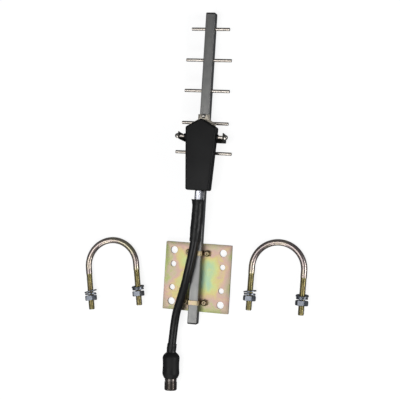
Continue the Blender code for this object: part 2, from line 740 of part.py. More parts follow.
def make_jack(boot_finish, metal_finish, insulator_finish, contact_finish):
    """The jack on the cable's end: rubber boot, threaded body, insulator and socket contact."""
    axis = bpy.data.objects.new("jack_axis", None)
    bpy.context.scene.collection.objects.link(axis)
    axis.location = JACK_START
    axis.rotation_euler = Vector(JACK_DIRECTION).to_track_quat("Z", "Y").to_euler()
    add("connector_boot", turned(BOOT_PROFILE, FINE), boot_finish, parent=axis, smooth=True)
    add("connector_body", turned(JACK_PROFILE, FINE), metal_finish, parent=axis, smooth=True)
    insulator = turned(INSULATOR_PROFILE, closed=True)
    add("connector_insulator", insulator, insulator_finish, parent=axis, smooth=True)
    add("connector_contact", turned(CONTACT_PROFILE), contact_finish, parent=axis, smooth=True)


def hex_ring(flats, height, segments):
    """A hexagon as a ring of equally spaced angles, so that it lofts to a circle."""
    ring = []
    for i in range(segments):
        angle = 2 * math.pi * i / segments
        to_flat = (angle % (math.pi / 3)) - math.pi / 6
        radius = flats / 2 / math.cos(to_flat)
        ring.append((radius * math.cos(angle), radius * math.sin(angle), height))
    return ring


def nut_mesh():
    """A hexagon nut, centred, with its faces broken at the corners."""
    half = NUT_THICK / 2
    edge = 0.0005
    face = NUT_FLATS / 2 - 0.0001
    return lofted(
        [
            circle(NUT_BORE, -half, HEXAGON),
            circle(face, -half, HEXAGON),
            hex_ring(NUT_FLATS, edge - half, HEXAGON),
            hex_ring(NUT_FLATS, half - edge, HEXAGON),
            circle(face, half, HEXAGON),
            circle(NUT_BORE, half, HEXAGON),
        ],
        closed=True,
    )


def flat_washer_mesh():
    half = FLAT_WASHER_THICK / 2
    inner = [(NUT_BORE, -half), (NUT_BORE, half)]
    outer = [(FLAT_WASHER_RADIUS, -half), (FLAT_WASHER_RADIUS, half)]
    return turned([inner[0], *outer, inner[1]], FINE, closed=True)


def spring_washer_mesh():
    """A split ring whose two ends stand apart along the axis."""
    half = SPRING_WASHER_THICK / 2
    steps = 22
    opening = math.radians(12)
    rings = []
    for i in range(steps + 1):
        share = i / steps
        angle = opening / 2 + (2 * math.pi - opening) * share
        rise = SPRING_WASHER_RISE * (share - 0.5)
        section = [
            (NUT_BORE, rise - half),
            (SPRING_WASHER_RADIUS, rise - half),
            (SPRING_WASHER_RADIUS, rise + half),
            (NUT_BORE, rise + half),
        ]
        rings.append([(r * math.cos(angle), r * math.sin(angle), z) for r, z in section])
    return lofted(rings)


def bolt_path():
    """The U-bolt's centre line: one leg, the half-round bend, the other leg. Legs point to -Y."""
    steps = 20
    bend = [(x, y, 0.0) for x, y in arc((0, 0), BEND_RADIUS, 180, 0, steps)]
    return [(-BEND_RADIUS, -LEG_LENGTH, 0.0), *bend, (BEND_RADIUS, -LEG_LENGTH, 0.0)]


def make_u_bolt(side, centre, heading, finishes):
    """One U-bolt, tilted because its washers hold the legs off the table, with hardware on both legs."""
    rod_finish, hardware_finish = finishes
    base = bpy.data.objects.new(f"{side}_u_bolt_base", None)
    bpy.context.scene.collection.objects.link(base)
    base.location = (*centre, BOLT_RADIUS + BEND_RADIUS * math.sin(BOLT_TILT))
    base.rotation_euler = (-BOLT_TILT, 0, heading)
    tube_curve(f"{side}_u_bolt", bolt_path(), BOLT_RADIUS, 4, rod_finish, base)
    makers = {"nut": nut_mesh, "spring_washer": spring_washer_mesh, "flat_washer": flat_washer_mesh}
    for leg, x in [("left", -BEND_RADIUS), ("right", BEND_RADIUS)]:
        for piece, from_end, lean_back, lean_aside in LEG_HARDWARE[leg]:
            name = f"{side}_bolt_{leg}_{piece}"
            place = (x, from_end - LEG_LENGTH, 0)
            turn = (math.radians(lean_back - 90), 0, math.radians(lean_aside))
            add(name, makers[piece](), hardware_finish, place, turn, base, smooth=True)


def main():
    clear_scene()
    bpy.context.scene.unit_settings.system = "METRIC"
    aluminium = material("anodised_aluminium", (0.42, 0.42, 0.40), 1.0, 0.38)
    cap_plastic = material("end_cap_plastic", (0.02, 0.02, 0.02), 0.0, 0.5)
    nickel_rod = material("nickel_rod", (0.62, 0.55, 0.46), 1.0, 0.22)
    dark_strip = material("dark_strip", (0.10, 0.10, 0.10), 1.0, 0.4)
    nickel = material("nickel_plate", (0.55, 0.53, 0.50), 1.0, 0.25)
    bracket_steel = material("bracket_steel", (0.70, 0.64, 0.54), 1.0, 0.3)
    housing_plastic = material("housing_plastic", (0.012, 0.012, 0.014), 0.0, 0.42)
    gasket_rubber = material("gasket_rubber", (0.03, 0.03, 0.03), 0.0, 0.8)
    board_laminate = material("board_laminate", (0.05, 0.20, 0.10), 0.0, 0.5)
    white_plastic = material("white_plastic", (0.85, 0.84, 0.80), 0.0, 0.5)
    yellow_zinc = material("yellow_zinc", (0.62, 0.56, 0.36), 1.0, 0.35)
    ferrule_metal = material("ferrule_metal", (0.60, 0.61, 0.66), 1.0, 0.3)
    cable_jacket = material("cable_jacket", (0.010, 0.010, 0.010), 0.0, 0.38)
    heat_shrink = material("heat_shrink", (0.012, 0.012, 0.012), 0.0, 0.5)
    boot_rubber = material("boot_rubber", (0.015, 0.015, 0.015), 0.0, 0.55)
    jack_nickel = material("jack_nickel", (0.25, 0.23, 0.21), 1.0, 0.28)
    gold = material("gold_contact", (0.80, 0.60, 0.25), 1.0, 0.25)
    bolt_zinc = material("bolt_zinc", (0.55, 0.48, 0.30), 1.0, 0.35)
    blue_zinc = material("blue_zinc", (0.50, 0.52, 0.55), 1.0, 0.3)

    make_plate(yellow_zinc)
    make_straps(yellow_zinc, yellow_zinc)
    make_boom(aluminium, cap_plastic)
    make_elements(nickel_rod)
    make_dipole(nickel_rod, dark_strip, nickel)
    make_bracket(bracket_steel, nickel)
    make_housing(housing_plastic, gasket_rubber, nickel)
    make_feed(board_laminate, white_plastic)
    make_cable(ferrule_metal, cable_jacket, heat_shrink)
    make_jack(boot_rubber, jack_nickel, white_plastic, gold)
    for side, (centre, heading) in U_BOLTS.items():
        make_u_bolt(side, centre, heading, (bolt_zinc, blue_zinc))


main()
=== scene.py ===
"""The looks of the yagi antenna kit: fine meshes, procedural materials, light and camera, built round the
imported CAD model. Metres, in the CAD model's frame: +Y along the boom to the directors, +Z up."""

import json
import math

import bmesh
import bpy
from mathutils import Euler, Matrix, Vector


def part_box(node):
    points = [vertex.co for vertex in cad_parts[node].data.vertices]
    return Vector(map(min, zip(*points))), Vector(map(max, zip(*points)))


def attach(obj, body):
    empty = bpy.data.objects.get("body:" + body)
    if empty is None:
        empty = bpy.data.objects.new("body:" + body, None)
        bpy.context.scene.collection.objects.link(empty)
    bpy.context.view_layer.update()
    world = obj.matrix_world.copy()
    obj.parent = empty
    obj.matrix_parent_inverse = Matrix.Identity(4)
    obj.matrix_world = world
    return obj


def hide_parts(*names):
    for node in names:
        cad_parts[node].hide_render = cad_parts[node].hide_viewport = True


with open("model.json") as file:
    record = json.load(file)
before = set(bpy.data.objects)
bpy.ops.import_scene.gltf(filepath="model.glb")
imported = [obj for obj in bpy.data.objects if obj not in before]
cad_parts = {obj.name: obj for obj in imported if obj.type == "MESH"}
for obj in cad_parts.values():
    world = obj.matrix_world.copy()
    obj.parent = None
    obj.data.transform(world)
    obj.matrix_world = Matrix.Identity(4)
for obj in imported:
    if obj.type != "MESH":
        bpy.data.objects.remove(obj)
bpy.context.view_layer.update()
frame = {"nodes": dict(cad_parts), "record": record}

ANTENNA = "antenna"
CLAMP = "clamp_plate"
GAP = 0.0003

CAMERA_TARGET = Vector((0.0010, 0.0975, 0.0153))
CAMERA_DISTANCE = 1.125
CAMERA_YAW = math.radians(15.0)
CAMERA_ROLL = math.radians(3.5)
CAMERA_ANGLE = math.radians(25.0)

# The free cable's route, as in the CAD model
CABLE_DIAMETER = 0.0103
CABLE_ROUTE = [
    (0.0010, 0.0937, 0.0232),
    (0.0010, 0.0840, 0.0232),
    (0.0006, 0.0710, 0.0231),
    (0.0000, 0.0585, 0.0230),
    (-0.0011, 0.0457, 0.0228),
    (-0.0028, 0.0328, 0.0226),
    (-0.0048, 0.0200, 0.0225),
    (-0.0072, 0.0070, 0.0222),
    (-0.0098, -0.0060, 0.0208),
    (-0.0135, -0.0190, 0.0182),
    (-0.0174, -0.0320, 0.0153),
    (-0.0212, -0.0450, 0.0129),
    (-0.0232, -0.0580, 0.0115),
    (-0.0242, -0.0700, 0.0110),
    (-0.0251, -0.0855, 0.0109),
    (-0.0255, -0.0957, 0.0109),
]

# M8 thread on the U-bolts, and 24 turns per inch on the jack
M8_RADIUS = 0.004
M8_PITCH = 0.00125
M8_DEPTH = 0.00062
THREADED_LENGTH = 0.046
LEG_LENGTH = 0.054
BEND_RADIUS = 0.0325
NUT_FROM_END = 0.015
JACK_PITCH = 0.0254 / 24
JACK_DEPTH = 0.0005

# The way up, and the sides of a round cutter
UP = Vector((0, 0, 1))
HOLE_SEGMENTS = 48

# Nuts and washers on the U-bolts, and in degrees how each loose washer leans back and aside
NUT_THICK = 0.0065
NUT_FLATS = 0.014
NUT_BORE = 0.0041
NUT_MOUTH = 0.0043
NUT_CHAMFER = [(0.0, 0.0069), (0.0004, 0.0077), (0.0009, 0.0081)]
LEANS = {
    "left": {"spring_washer": (0.0, 0.0), "flat_washer": (3.0, 9.0)},
    "right": {"spring_washer": (9.0, 0.0), "flat_washer": (12.0, 0.0)},
}

# Jack: where its axis starts and where it points
JACK_START = (-0.0255, -0.0963, 0.0109)
JACK_DIRECTION = (0.045, -1.0, 0.0)

# Plate, and its holes and strap screw holes as (x, y, radius) in one quarter
PLATE_HALF = 0.043
PLATE_CORNER = 0.0012
PLATE_HOLES = [(0.032, 0.0325, 0.0045), (0.032, 0.0148, 0.0035), (0.0120, 0.031, 0.0023)]

# Dipole strip
STRIP_THICK = 0.0012
STRIP_WIDTH = 0.0086
STRIP_TAB_X = 0.0285
STRIP_TAB_FOOT = 0.0180
STRIP_CORNER_X = 0.0265
STRIP_BACK_Z = 0.0024
STRIP_BEND = 0.0022

# Elements, and the feed housing's outline and screws
ROD_RADIUS = 0.002
ELEMENTS = ("reflector", "director_1", "director_2", "director_3", "director_4")
HOUSING_BOTTOM_Y = 0.1092
HOUSING_BOTTOM_HALF = 0.0153
HOUSING_SHOULDER = (0.0198, 0.1875)
HOUSING_APEX_Y = 0.1985
HOUSING_CORNER = 0.0026
HOUSING_SCREWS = [(-0.0105, 0.1190), (0.0105, 0.1190), (-0.0110, 0.1845), (0.0110, 0.1845)]
FERRULE_SHOULDER_Y = 0.1089


# ---------------------------------------------------------------- places


def centre(node):
    lowest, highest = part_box(node)
    return (Vector(lowest) + Vector(highest)) / 2


def joint(name):
    return next(j for j in frame["record"]["behaviour"]["joints"] if j["name"] == name)


# ---------------------------------------------------------------- meshes


def as_object(name, bm, finish, sharp=32.0):
    """The mesh as a smooth-shaded object with sharp edges kept."""
    bmesh.ops.remove_doubles(bm, verts=bm.verts, dist=1e-7)
    bmesh.ops.recalc_face_normals(bm, faces=bm.faces)
    mesh = bpy.data.meshes.new(name)
    bm.to_mesh(mesh)
    bm.free()
    mesh.shade_smooth()
    mesh.set_sharp_from_angle(angle=math.radians(sharp))
    for material in finish if isinstance(finish, list) else [finish]:
        mesh.materials.append(material)
    obj = bpy.data.objects.new(name, mesh)
    bpy.context.scene.collection.objects.link(obj)
    return obj


def ring_mesh(rings, closed=False, material_of=None):
    """A bmesh through rings of equally many points, capped at both ends or joined into a loop."""
    bm = bmesh.new()
    made = [[bm.verts.new(point) for point in ring] for ring in rings]
    count = len(made[0])
    pairs = list(zip(made, made[1:]))
    if closed:
        pairs.append((made[-1], made[0]))
    else:
        bm.faces.new(made[0])
        bm.faces.new(made[-1])
    for k, (first, second) in enumerate(pairs):
        for i in range(count):
            j = (i + 1) % count
            face = bm.faces.new((first[i], first[j], second[j], second[i]))
            if material_of:
                face.material_index = material_of(k)
    return bm


def circle(radius, height, segments):
    turn = 2 * math.pi / segments
    angles = [i * turn for i in range(segments)]
    return [Vector((radius * math.cos(a), radius * math.sin(a), height)) for a in angles]


def moved(rings, matrix):
    return [[matrix @ Vector(point) for point in ring] for ring in rings]


def along(place, direction):
    """A matrix that puts local +Z along a direction at a place."""
    turn = Vector(direction).to_track_quat("Z", "Y").to_matrix().to_4x4()
    return Matrix.Translation(place) @ turn


def turned(name, profile, matrix, finish, segments=64, closed=False, sharp=32.0):
    """A turned piece from (radius, height) points about local Z."""
    rings = [circle(max(radius, 1e-6), height, segments) for radius, height in profile]
    return as_object(name, ring_mesh(moved(rings, matrix), closed), finish, sharp)


def rounded(profile, steps=4):
    """A profile whose middle points may carry a rounding radius as a third value."""
    result = []
    for i, point in enumerate(profile):
        if len(point) == 2 or i in (0, len(profile) - 1):
            result.append(tuple(point[:2]))
            continue
        here = Vector(point[:2])
        before = Vector(profile[i - 1][:2]) - here
        after = Vector(profile[i + 1][:2]) - here
        reach = min(point[2], 0.49 * before.length, 0.49 * after.length)
        start = here + before.normalized() * reach
        end = here + after.normalized() * reach
        for k in range(steps + 1):
            t = k / steps
            spot = start * (1 - t) ** 2 + here * 2 * t * (1 - t) + end * t**2
            result.append((spot.x, spot.y))
    return result


def arc(centre_point, radius, start, end, steps):
    angles = [math.radians(start + (end - start) * i / steps) for i in range(steps + 1)]
    return [(centre_point[0] + radius * math.cos(a), centre_point[1] + radius * math.sin(a)) for a in angles]


def inset(outline, distance):
    """A convex anticlockwise outline with every side moved inwards."""
    result = []
    for i, point in enumerate(outline):
        here = Vector(point)
        arriving = (here - Vector(outline[i - 1])).normalized()
        leaving = (Vector(outline[(i + 1) % len(outline)]) - here).normalized()
        normal = Vector((-arriving.y, arriving.x))
        mitre = (normal + Vector((-leaving.y, leaving.x))).normalized()
        spot = here + mitre * distance / mitre.dot(normal)
        result.append((spot.x, spot.y))
    return result


def slab_rings(outline, bottom, top, edge, steps=3):
    """Rings of a slab with rounded rims: the outline shrinks towards both faces."""
    rings = []
    for i in range(steps + 1):
        angle = 0.5 * math.pi * i / steps
        back = edge * (1 - math.sin(angle))
        rings.append([(x, y, bottom + edge * (1 - math.cos(angle))) for x, y in inset(outline, back)])
    for i in range(steps + 1):
        angle = 0.5 * math.pi * (1 - i / steps)
        back = edge * (1 - math.sin(angle))
        rings.append([(x, y, top - edge * (1 - math.cos(angle))) for x, y in inset(outline, back)])
    return rings


def cut(obj, cutters, name):
    """Cuts closed helper meshes out of a piece and keeps the result as its mesh."""
    bm = bmesh.new()
    for cutter in cutters:
        part = bpy.data.meshes.new("cutter")
        cutter.to_mesh(part)
        cutter.free()
        bm.from_mesh(part)
        bpy.data.meshes.remove(part)
    bmesh.ops.recalc_face_normals(bm, faces=bm.faces)
    mesh = bpy.data.meshes.new(name)
    bm.to_mesh(mesh)
    bm.free()
    tool = bpy.data.objects.new(name, mesh)
    bpy.context.scene.collection.objects.link(tool)
    modifier = obj.modifiers.new("cut", "BOOLEAN")
    modifier.operation = "DIFFERENCE"
    modifier.object = tool
    modifier.solver = "EXACT"
    bake_modifiers(obj)
    bpy.data.objects.remove(tool, do_unlink=True)
    return obj


def bake_modifiers(obj):
    """Replaces a piece's mesh by what its modifiers make of it."""
    graph = bpy.context.evaluated_depsgraph_get()
    mesh = bpy.data.meshes.new_from_object(obj.evaluated_get(graph))
    obj.modifiers.clear()
    obj.data = mesh


def smooth(obj, sharp=32.0):
    obj.data.shade_smooth()
    obj.data.set_sharp_from_angle(angle=math.radians(sharp))
    return obj


def soften(obj, width, segments=2):
    """A fine bevel on every hard edge."""
    bevel = obj.modifiers.new("edge", "BEVEL")
    bevel.width = width
    bevel.segments = segments
    bevel.limit_method = "ANGLE"
    bevel.angle_limit = math.radians(35)
    bevel.use_clamp_overlap = True
    bevel.harden_normals = True
    return obj


def drill_bit(middle, direction, radius, length):
    matrix = along(middle, direction)
    ends = [circle(radius, height, HOLE_SEGMENTS) for height in (-length / 2, length / 2)]
    return ring_mesh(moved(ends, matrix))


def sweep_rings(stations, radius_at, segments, lowest=None):
    """Circles across a path of (point, direction), their radius set by the station and the angle."""
    rings = []
    for k, (point, direction) in enumerate(stations):
        side = direction.cross(UP).normalized()
        up = side.cross(direction).normalized()
        ring = []
        for i in range(segments):
            angle = 2 * math.pi * i / segments
            radius = radius_at(k, angle)
            spot = point + side * math.cos(angle) * radius + up * math.sin(angle) * radius
            if lowest is not None:
                spot.z = max(spot.z, lowest)
            ring.append(spot)
        rings.append(ring)
    return rings


def directions(points):
    ends = [points[0], *points, points[-1]]
    return [(ends[i + 2] - ends[i]).normalized() for i in range(len(points))]


def smooth_route(points, steps):
    """Points on a Catmull-Rom curve through the given ones."""
    points = [Vector(point) for point in points]
    padded = [2 * points[0] - points[1], *points, 2 * points[-1] - points[-2]]
    result = []
    for a, b, c, d in zip(padded, padded[1:], padded[2:], padded[3:]):
        for i in range(steps):
            t = i / steps
            square = 2 * a - 5 * b + 4 * c - d
            cube = 3 * b - a - 3 * c + d
            result.append(0.5 * (2 * b + (c - a) * t + square * t**2 + cube * t**3))
    return result + [points[-1]]


def thread_wave(turns):
    """0 at a thread's crest and 1 at its root, with small flats, for a position counted in turns."""
    phase = abs((turns % 1.0) - 0.5) * 2
    return min(1.0, max(0.0, (0.88 - phase) / 0.72))


# ---------------------------------------------------------------- materials


class Look:
    """A Principled material, and short calls that add nodes to it."""

    def __init__(self, name, metallic=0.0, specular=0.5):
        self.material = bpy.data.materials.new(name)
        self.material.use_nodes = True
        self.tree = self.material.node_tree
        self.shader = self.tree.nodes["Principled BSDF"]
        self.shader.inputs["Metallic"].default_value = metallic
        self.shader.inputs["Specular IOR Level"].default_value = specular
        self.shader.inputs["Coat Roughness"].default_value = 0.1
        self.place = self.tree.nodes.new("ShaderNodeTexCoord").outputs["Object"]

    def node(self, kind, **settings):
        made = self.tree.nodes.new(kind)
        for key, value in settings.items():
            setattr(made, key, value)
        return made

    def link(self, source, target):
        self.tree.links.new(source, target)

    def stretched(self, scale):
        """The place, scaled on each axis."""
        mapping = self.node("ShaderNodeMapping", vector_type="POINT")
        mapping.inputs["Scale"].default_value = scale
        self.link(self.place, mapping.inputs["Vector"])
        return mapping.outputs["Vector"]

    def noise(self, scale, detail=4.0, rough=0.55, distortion=0.0, vector=None):
        made = self.node("ShaderNodeTexNoise")
        made.inputs["Scale"].default_value = scale
        made.inputs["Detail"].default_value = detail
        made.inputs["Roughness"].default_value = rough
        made.inputs["Distortion"].default_value = distortion
        self.link(vector or self.place, made.inputs["Vector"])
        return made.outputs["Fac"]

    def spots(self, scale):
        made = self.node("ShaderNodeTexVoronoi")
        made.inputs["Scale"].default_value = scale
        self.link(self.place, made.inputs["Vector"])
        return made.outputs["Distance"]

    def remap(self, value, from_low, from_high, to_low, to_high):
        made = self.node("ShaderNodeMapRange")
        made.inputs["From Min"].default_value = from_low
        made.inputs["From Max"].default_value = from_high
        made.inputs["To Min"].default_value = to_low
        made.inputs["To Max"].default_value = to_high
        self.link(value, made.inputs["Value"])
        return made.outputs["Result"]

    def maths(self, operation, first, second):
        made = self.node("ShaderNodeMath", operation=operation)
        for slot, value in zip(made.inputs, (first, second)):
            if isinstance(value, (int, float)):
                slot.default_value = value
            else:
                self.link(value, slot)
        return made.outputs["Value"]

    def ramp(self, value, stops):
        made = self.node("ShaderNodeValToRGB")
        elements = made.color_ramp.elements
        while len(elements) < len(stops):
            elements.new(0.5)
        for element, (position, colour) in zip(elements, stops):
            element.position = position
            element.color = (*colour, 1.0)
        self.link(value, made.inputs["Fac"])
        return made.outputs["Color"]

    def mix(self, share, first, second):
        made = self.node("ShaderNodeMix", data_type="RGBA")
        sockets = [s for s in made.inputs if s.enabled]
        for slot, value in zip(sockets, (share, first, second)):
            if isinstance(value, (int, float)):
                slot.default_value = value
            elif isinstance(value, tuple):
                slot.default_value = (*value, 1.0)
            else:
                self.link(value, slot)
        return next(s for s in made.outputs if s.enabled)

    def colour(self, value):
        target = self.shader.inputs["Base Color"]
        if isinstance(value, tuple):
            target.default_value = (*value, 1.0)
        else:
            self.link(value, target)
        return self

    def roughness(self, value):
        self.link(value, self.shader.inputs["Roughness"])
        return self

    def bump(self, height, distance, strength=1.0):
        made = self.node("ShaderNodeBump")
        made.inputs["Strength"].default_value = strength
        made.inputs["Distance"].default_value = distance
        self.link(height, made.inputs["Height"])
        earlier = self.shader.inputs["Normal"].links
        if earlier:
            self.link(earlier[0].from_socket, made.inputs["Normal"])
        self.link(made.outputs["Normal"], self.shader.inputs["Normal"])
        return self

    def finish(self, pattern, tones, shine, relief, depth, strength):
        """Colour and roughness that follow one pattern, and a bump from a relief."""
        self.colour(self.ramp(pattern, tones))
        self.roughness(self.remap(pattern, *shine))
        return self.bump(relief, depth, strength).material


def drawn_aluminium():
    """Dull drawn aluminium: lengthwise die lines, cloudy oxide and a few darker handling marks."""
    look = Look("drawn_aluminium", metallic=1.0)
    lines = look.noise(1.0, 3.0, vector=look.stretched((2600, 18, 2600)))
    clouds = look.noise(55, 6.0, 0.6)
    marks = look.noise(190, 8.0, 0.7, 0.4)
    greys = [(0.25, (0.24, 0.24, 0.24)), (0.55, (0.30, 0.30, 0.29)), (0.8, (0.36, 0.35, 0.34))]
    base = look.ramp(clouds, greys)
    base = look.mix(look.remap(marks, 0.60, 0.74, 0.0, 0.55), base, (0.10, 0.10, 0.10))
    base = look.mix(look.remap(lines, 0.3, 0.7, 0.0, 0.35), base, (0.19, 0.19, 0.19))
    look.colour(base)
    look.roughness(look.remap(lines, 0.2, 0.8, 0.33, 0.50))
    return look.bump(lines, 0.00003, 0.5).material


def yellow_zinc():
    """Iridescent yellow passivation: blue-green in the middle, then yellow, then pink towards the rim."""
    look = Look("yellow_zinc_plate", metallic=0.86)
    parts = look.node("ShaderNodeSeparateXYZ")
    look.link(look.place, parts.inputs["Vector"])
    x = look.maths("ABSOLUTE", parts.outputs["X"], 0.0)
    y = look.maths("ABSOLUTE", parts.outputs["Y"], 0.0)
    rim = look.maths("MAXIMUM", x, y)
    rim = look.remap(rim, 0.0, PLATE_HALF, 0.0, 1.0)
    drift = look.noise(26, 3.0, 0.5, 0.8)
    swirl = look.noise(75, 4.0, 0.6, 1.2)
    film = look.maths("ADD", look.maths("MULTIPLY", rim, 0.46), look.maths("MULTIPLY", drift, 0.62))
    film = look.maths("ADD", film, look.maths("MULTIPLY", swirl, 0.24))
    bands = [
        (0.38, (0.32, 0.52, 0.50)),
        (0.52, (0.39, 0.56, 0.35)),
        (0.62, (0.56, 0.59, 0.24)),
        (0.70, (0.61, 0.51, 0.22)),
        (0.78, (0.58, 0.38, 0.33)),
        (0.86, (0.52, 0.43, 0.30)),
        (0.94, (0.41, 0.47, 0.17)),
    ]
    base = look.ramp(film, bands)
    speckle = look.noise(900, 3.0, 0.6)
    base = look.mix(look.remap(speckle, 0.45, 0.75, 0.0, 0.22), base, (0.82, 0.80, 0.66))
    look.colour(base)
    rolled = look.noise(1.0, 3.0, vector=look.stretched((40, 1500, 1500)))
    look.roughness(look.remap(speckle, 0.2, 0.8, 0.34, 0.52))
    return look.bump(rolled, 0.00002, 0.4).material


def bright_rod():
    """Nickel-plated rod with a warm cast, fine turning lines and slight tarnish."""
    look = Look("bright_rod", metallic=1.0)
    tarnish = look.noise(140, 5.0, 0.6)
    lines = look.noise(1.0, 2.0, vector=look.stretched((300, 4200, 4200)))
    look.colour(look.ramp(tarnish, [(0.3, (0.52, 0.46, 0.40)), (0.6, (0.68, 0.63, 0.57))]))
    look.roughness(look.remap(lines, 0.2, 0.8, 0.16, 0.30))
    return look.bump(lines, 0.00001, 0.4).material


def dark_sheet():
    look = Look("dark_sheet", metallic=0.9)
    stain = look.noise(120, 6.0, 0.65)
    tones = [(0.3, (0.05, 0.048, 0.045)), (0.7, (0.13, 0.125, 0.115))]
    relief = look.noise(1400, 3.0)
    return look.finish(stain, tones, (0.2, 0.8, 0.38, 0.6), relief, 0.00002, 0.5)


def nickel_hardware():
    look = Look("nickel_hardware", metallic=1.0)
    stain = look.noise(260, 5.0, 0.6)
    tones = [(0.3, (0.42, 0.40, 0.37)), (0.7, (0.62, 0.59, 0.54))]
    relief = look.noise(2600, 2.0)
    return look.finish(stain, tones, (0.2, 0.8, 0.18, 0.36), relief, 0.00001, 0.4)


def bracket_steel():
    look = Look("bracket_steel", metallic=0.95)
    rolled = look.noise(1.0, 3.0, vector=look.stretched((60, 2200, 2200)))
    cloud = look.noise(90, 5.0)
    look.colour(look.ramp(cloud, [(0.3, (0.60, 0.54, 0.44)), (0.7, (0.78, 0.72, 0.62))]))
    look.roughness(look.remap(rolled, 0.2, 0.8, 0.26, 0.42))
    return look.bump(rolled, 0.00002, 0.4).material


def black_plastic():
    """Moulded black plastic with a fine spark-eroded grain and dull handling streaks."""
    look = Look("black_plastic", specular=0.28)
    grain = look.spots(3600)
    streaks = look.noise(1.0, 5.0, 0.6, vector=look.stretched((70, 22, 70)))
    tones = [(0.3, (0.0035, 0.0036, 0.0040)), (0.75, (0.0070, 0.0070, 0.0076))]
    return look.finish(streaks, tones, (0.25, 0.8, 0.40, 0.56), grain, 0.00004, 0.35)


def cap_plastic():
    look = Look("cap_plastic", specular=0.4)
    scuffs = look.noise(380, 6.0, 0.7)
    tones = [(0.35, (0.012, 0.012, 0.012)), (0.75, (0.035, 0.034, 0.032))]
    return look.finish(scuffs, tones, (0.3, 0.8, 0.45, 0.65), scuffs, 0.00004, 0.4)


def cable_jacket():
    """Extruded jacket: semi-gloss, with faint lines along it and dust in a few places."""
    look = Look("cable_jacket", specular=0.5)
    lines = look.noise(1.0, 2.0, vector=look.stretched((1800, 20, 1800)))
    dust = look.noise(160, 7.0, 0.7)
    base = look.mix(look.remap(dust, 0.62, 0.85, 0.0, 0.20), (0.0055, 0.0055, 0.0055), (0.06, 0.058, 0.054))
    look.colour(base)
    look.roughness(look.remap(dust, 0.3, 0.8, 0.30, 0.46))
    return look.bump(lines, 0.00002, 0.4).material


def heat_shrink():
    """Shrunk tube: duller than the jacket, with soft wrinkles across it."""
    look = Look("heat_shrink", specular=0.45)
    wrinkles = look.noise(1.0, 4.0, 0.55, vector=look.stretched((90, 420, 90)))
    cloud = look.noise(120, 5.0)
    tones = [(0.3, (0.006, 0.006, 0.006)), (0.75, (0.014, 0.014, 0.014))]
    return look.finish(cloud, tones, (0.3, 0.8, 0.36, 0.52), wrinkles, 0.00022, 0.5)


def boot_rubber():
    look = Look("boot_rubber", specular=0.35)
    grain = look.noise(2400, 3.0)
    bloom = look.noise(130, 5.0, 0.6)
    tones = [(0.3, (0.007, 0.007, 0.007)), (0.8, (0.017, 0.017, 0.017))]
    return look.finish(bloom, tones, (0.3, 0.8, 0.48, 0.68), grain, 0.00003, 0.35)


def ferrule_metal():
    look = Look("ferrule_metal", metallic=1.0)
    stain = look.noise(300, 5.0, 0.6)
    tones = [(0.3, (0.56, 0.57, 0.63)), (0.7, (0.74, 0.75, 0.80))]
    relief = look.noise(1.0, 2.0, vector=look.stretched((300, 5000, 300)))
    return look.finish(stain, tones, (0.2, 0.8, 0.20, 0.38), relief, 0.00002, 0.4)


def jack_nickel():
    look = Look("jack_nickel", metallic=1.0)
    stain = look.noise(240, 5.0, 0.6)
    tones = [(0.3, (0.15, 0.13, 0.12)), (0.7, (0.34, 0.31, 0.28))]
    relief = look.noise(3000, 2.0)
    return look.finish(stain, tones, (0.2, 0.8, 0.20, 0.36), relief, 0.00001, 0.3)


def white_fluoropolymer():
    look = Look("white_fluoropolymer", specular=0.4)
    cloud = look.noise(300, 4.0)
    tones = [(0.3, (0.80, 0.79, 0.75)), (0.7, (0.90, 0.89, 0.86))]
    return look.finish(cloud, tones, (0.3, 0.7, 0.42, 0.55), cloud, 0.00002, 0.3)


def board_laminate():
    look = Look("board_laminate", specular=0.5)
    weave = look.spots(1400)
    tones = [(0.2, (0.02, 0.11, 0.045)), (0.7, (0.04, 0.19, 0.08))]
    return look.finish(weave, tones, (0.0, 0.8, 0.35, 0.5), weave, 0.00002, 0.3)


def gasket_foam():
    look = Look("gasket_foam", specular=0.3)
    cells = look.spots(2600)
    tones = [(0.1, (0.008, 0.008, 0.008)), (0.7, (0.03, 0.03, 0.03))]
    return look.finish(cells, tones, (0.0, 0.8, 0.7, 0.9), cells, 0.00006, 0.6)


def gold_contact():
    look = Look("gold_contact", metallic=1.0)
    stain = look.noise(500, 4.0)
    tones = [(0.3, (0.72, 0.48, 0.16)), (0.7, (0.85, 0.62, 0.26))]
    return look.finish(stain, tones, (0.3, 0.7, 0.16, 0.28), stain, 0.00001, 0.3)


def bolt_zinc():
    """Plain part of a U-bolt: pink-brown passivation that drifts to pale gold, with drawing lines."""
    look = Look("bolt_zinc", metallic=1.0)
    drift = look.noise(38, 3.0, 0.5, 0.5)
    fine = look.noise(420, 5.0, 0.65)
    film = look.maths("ADD", look.maths("MULTIPLY", drift, 0.75), look.maths("MULTIPLY", fine, 0.25))
    bands = [
        (0.36, (0.44, 0.37, 0.36)),
        (0.47, (0.55, 0.46, 0.42)),
        (0.56, (0.64, 0.57, 0.42)),
        (0.68, (0.56, 0.54, 0.33)),
    ]
    look.colour(look.ramp(film, bands))
    look.roughness(look.remap(fine, 0.2, 0.8, 0.22, 0.38))
    return look.bump(fine, 0.00003, 0.4).material


def bolt_thread():
    """Threaded part of a U-bolt: darker olive-gold."""
    look = Look("bolt_thread", metallic=1.0)
    drift = look.noise(60, 4.0, 0.6)
    tones = [(0.3, (0.48, 0.43, 0.23)), (0.55, (0.60, 0.54, 0.31)), (0.75, (0.62, 0.51, 0.33))]
    relief = look.noise(2600, 3.0)
    return look.finish(drift, tones, (0.2, 0.8, 0.26, 0.42), relief, 0.00001, 0.4)


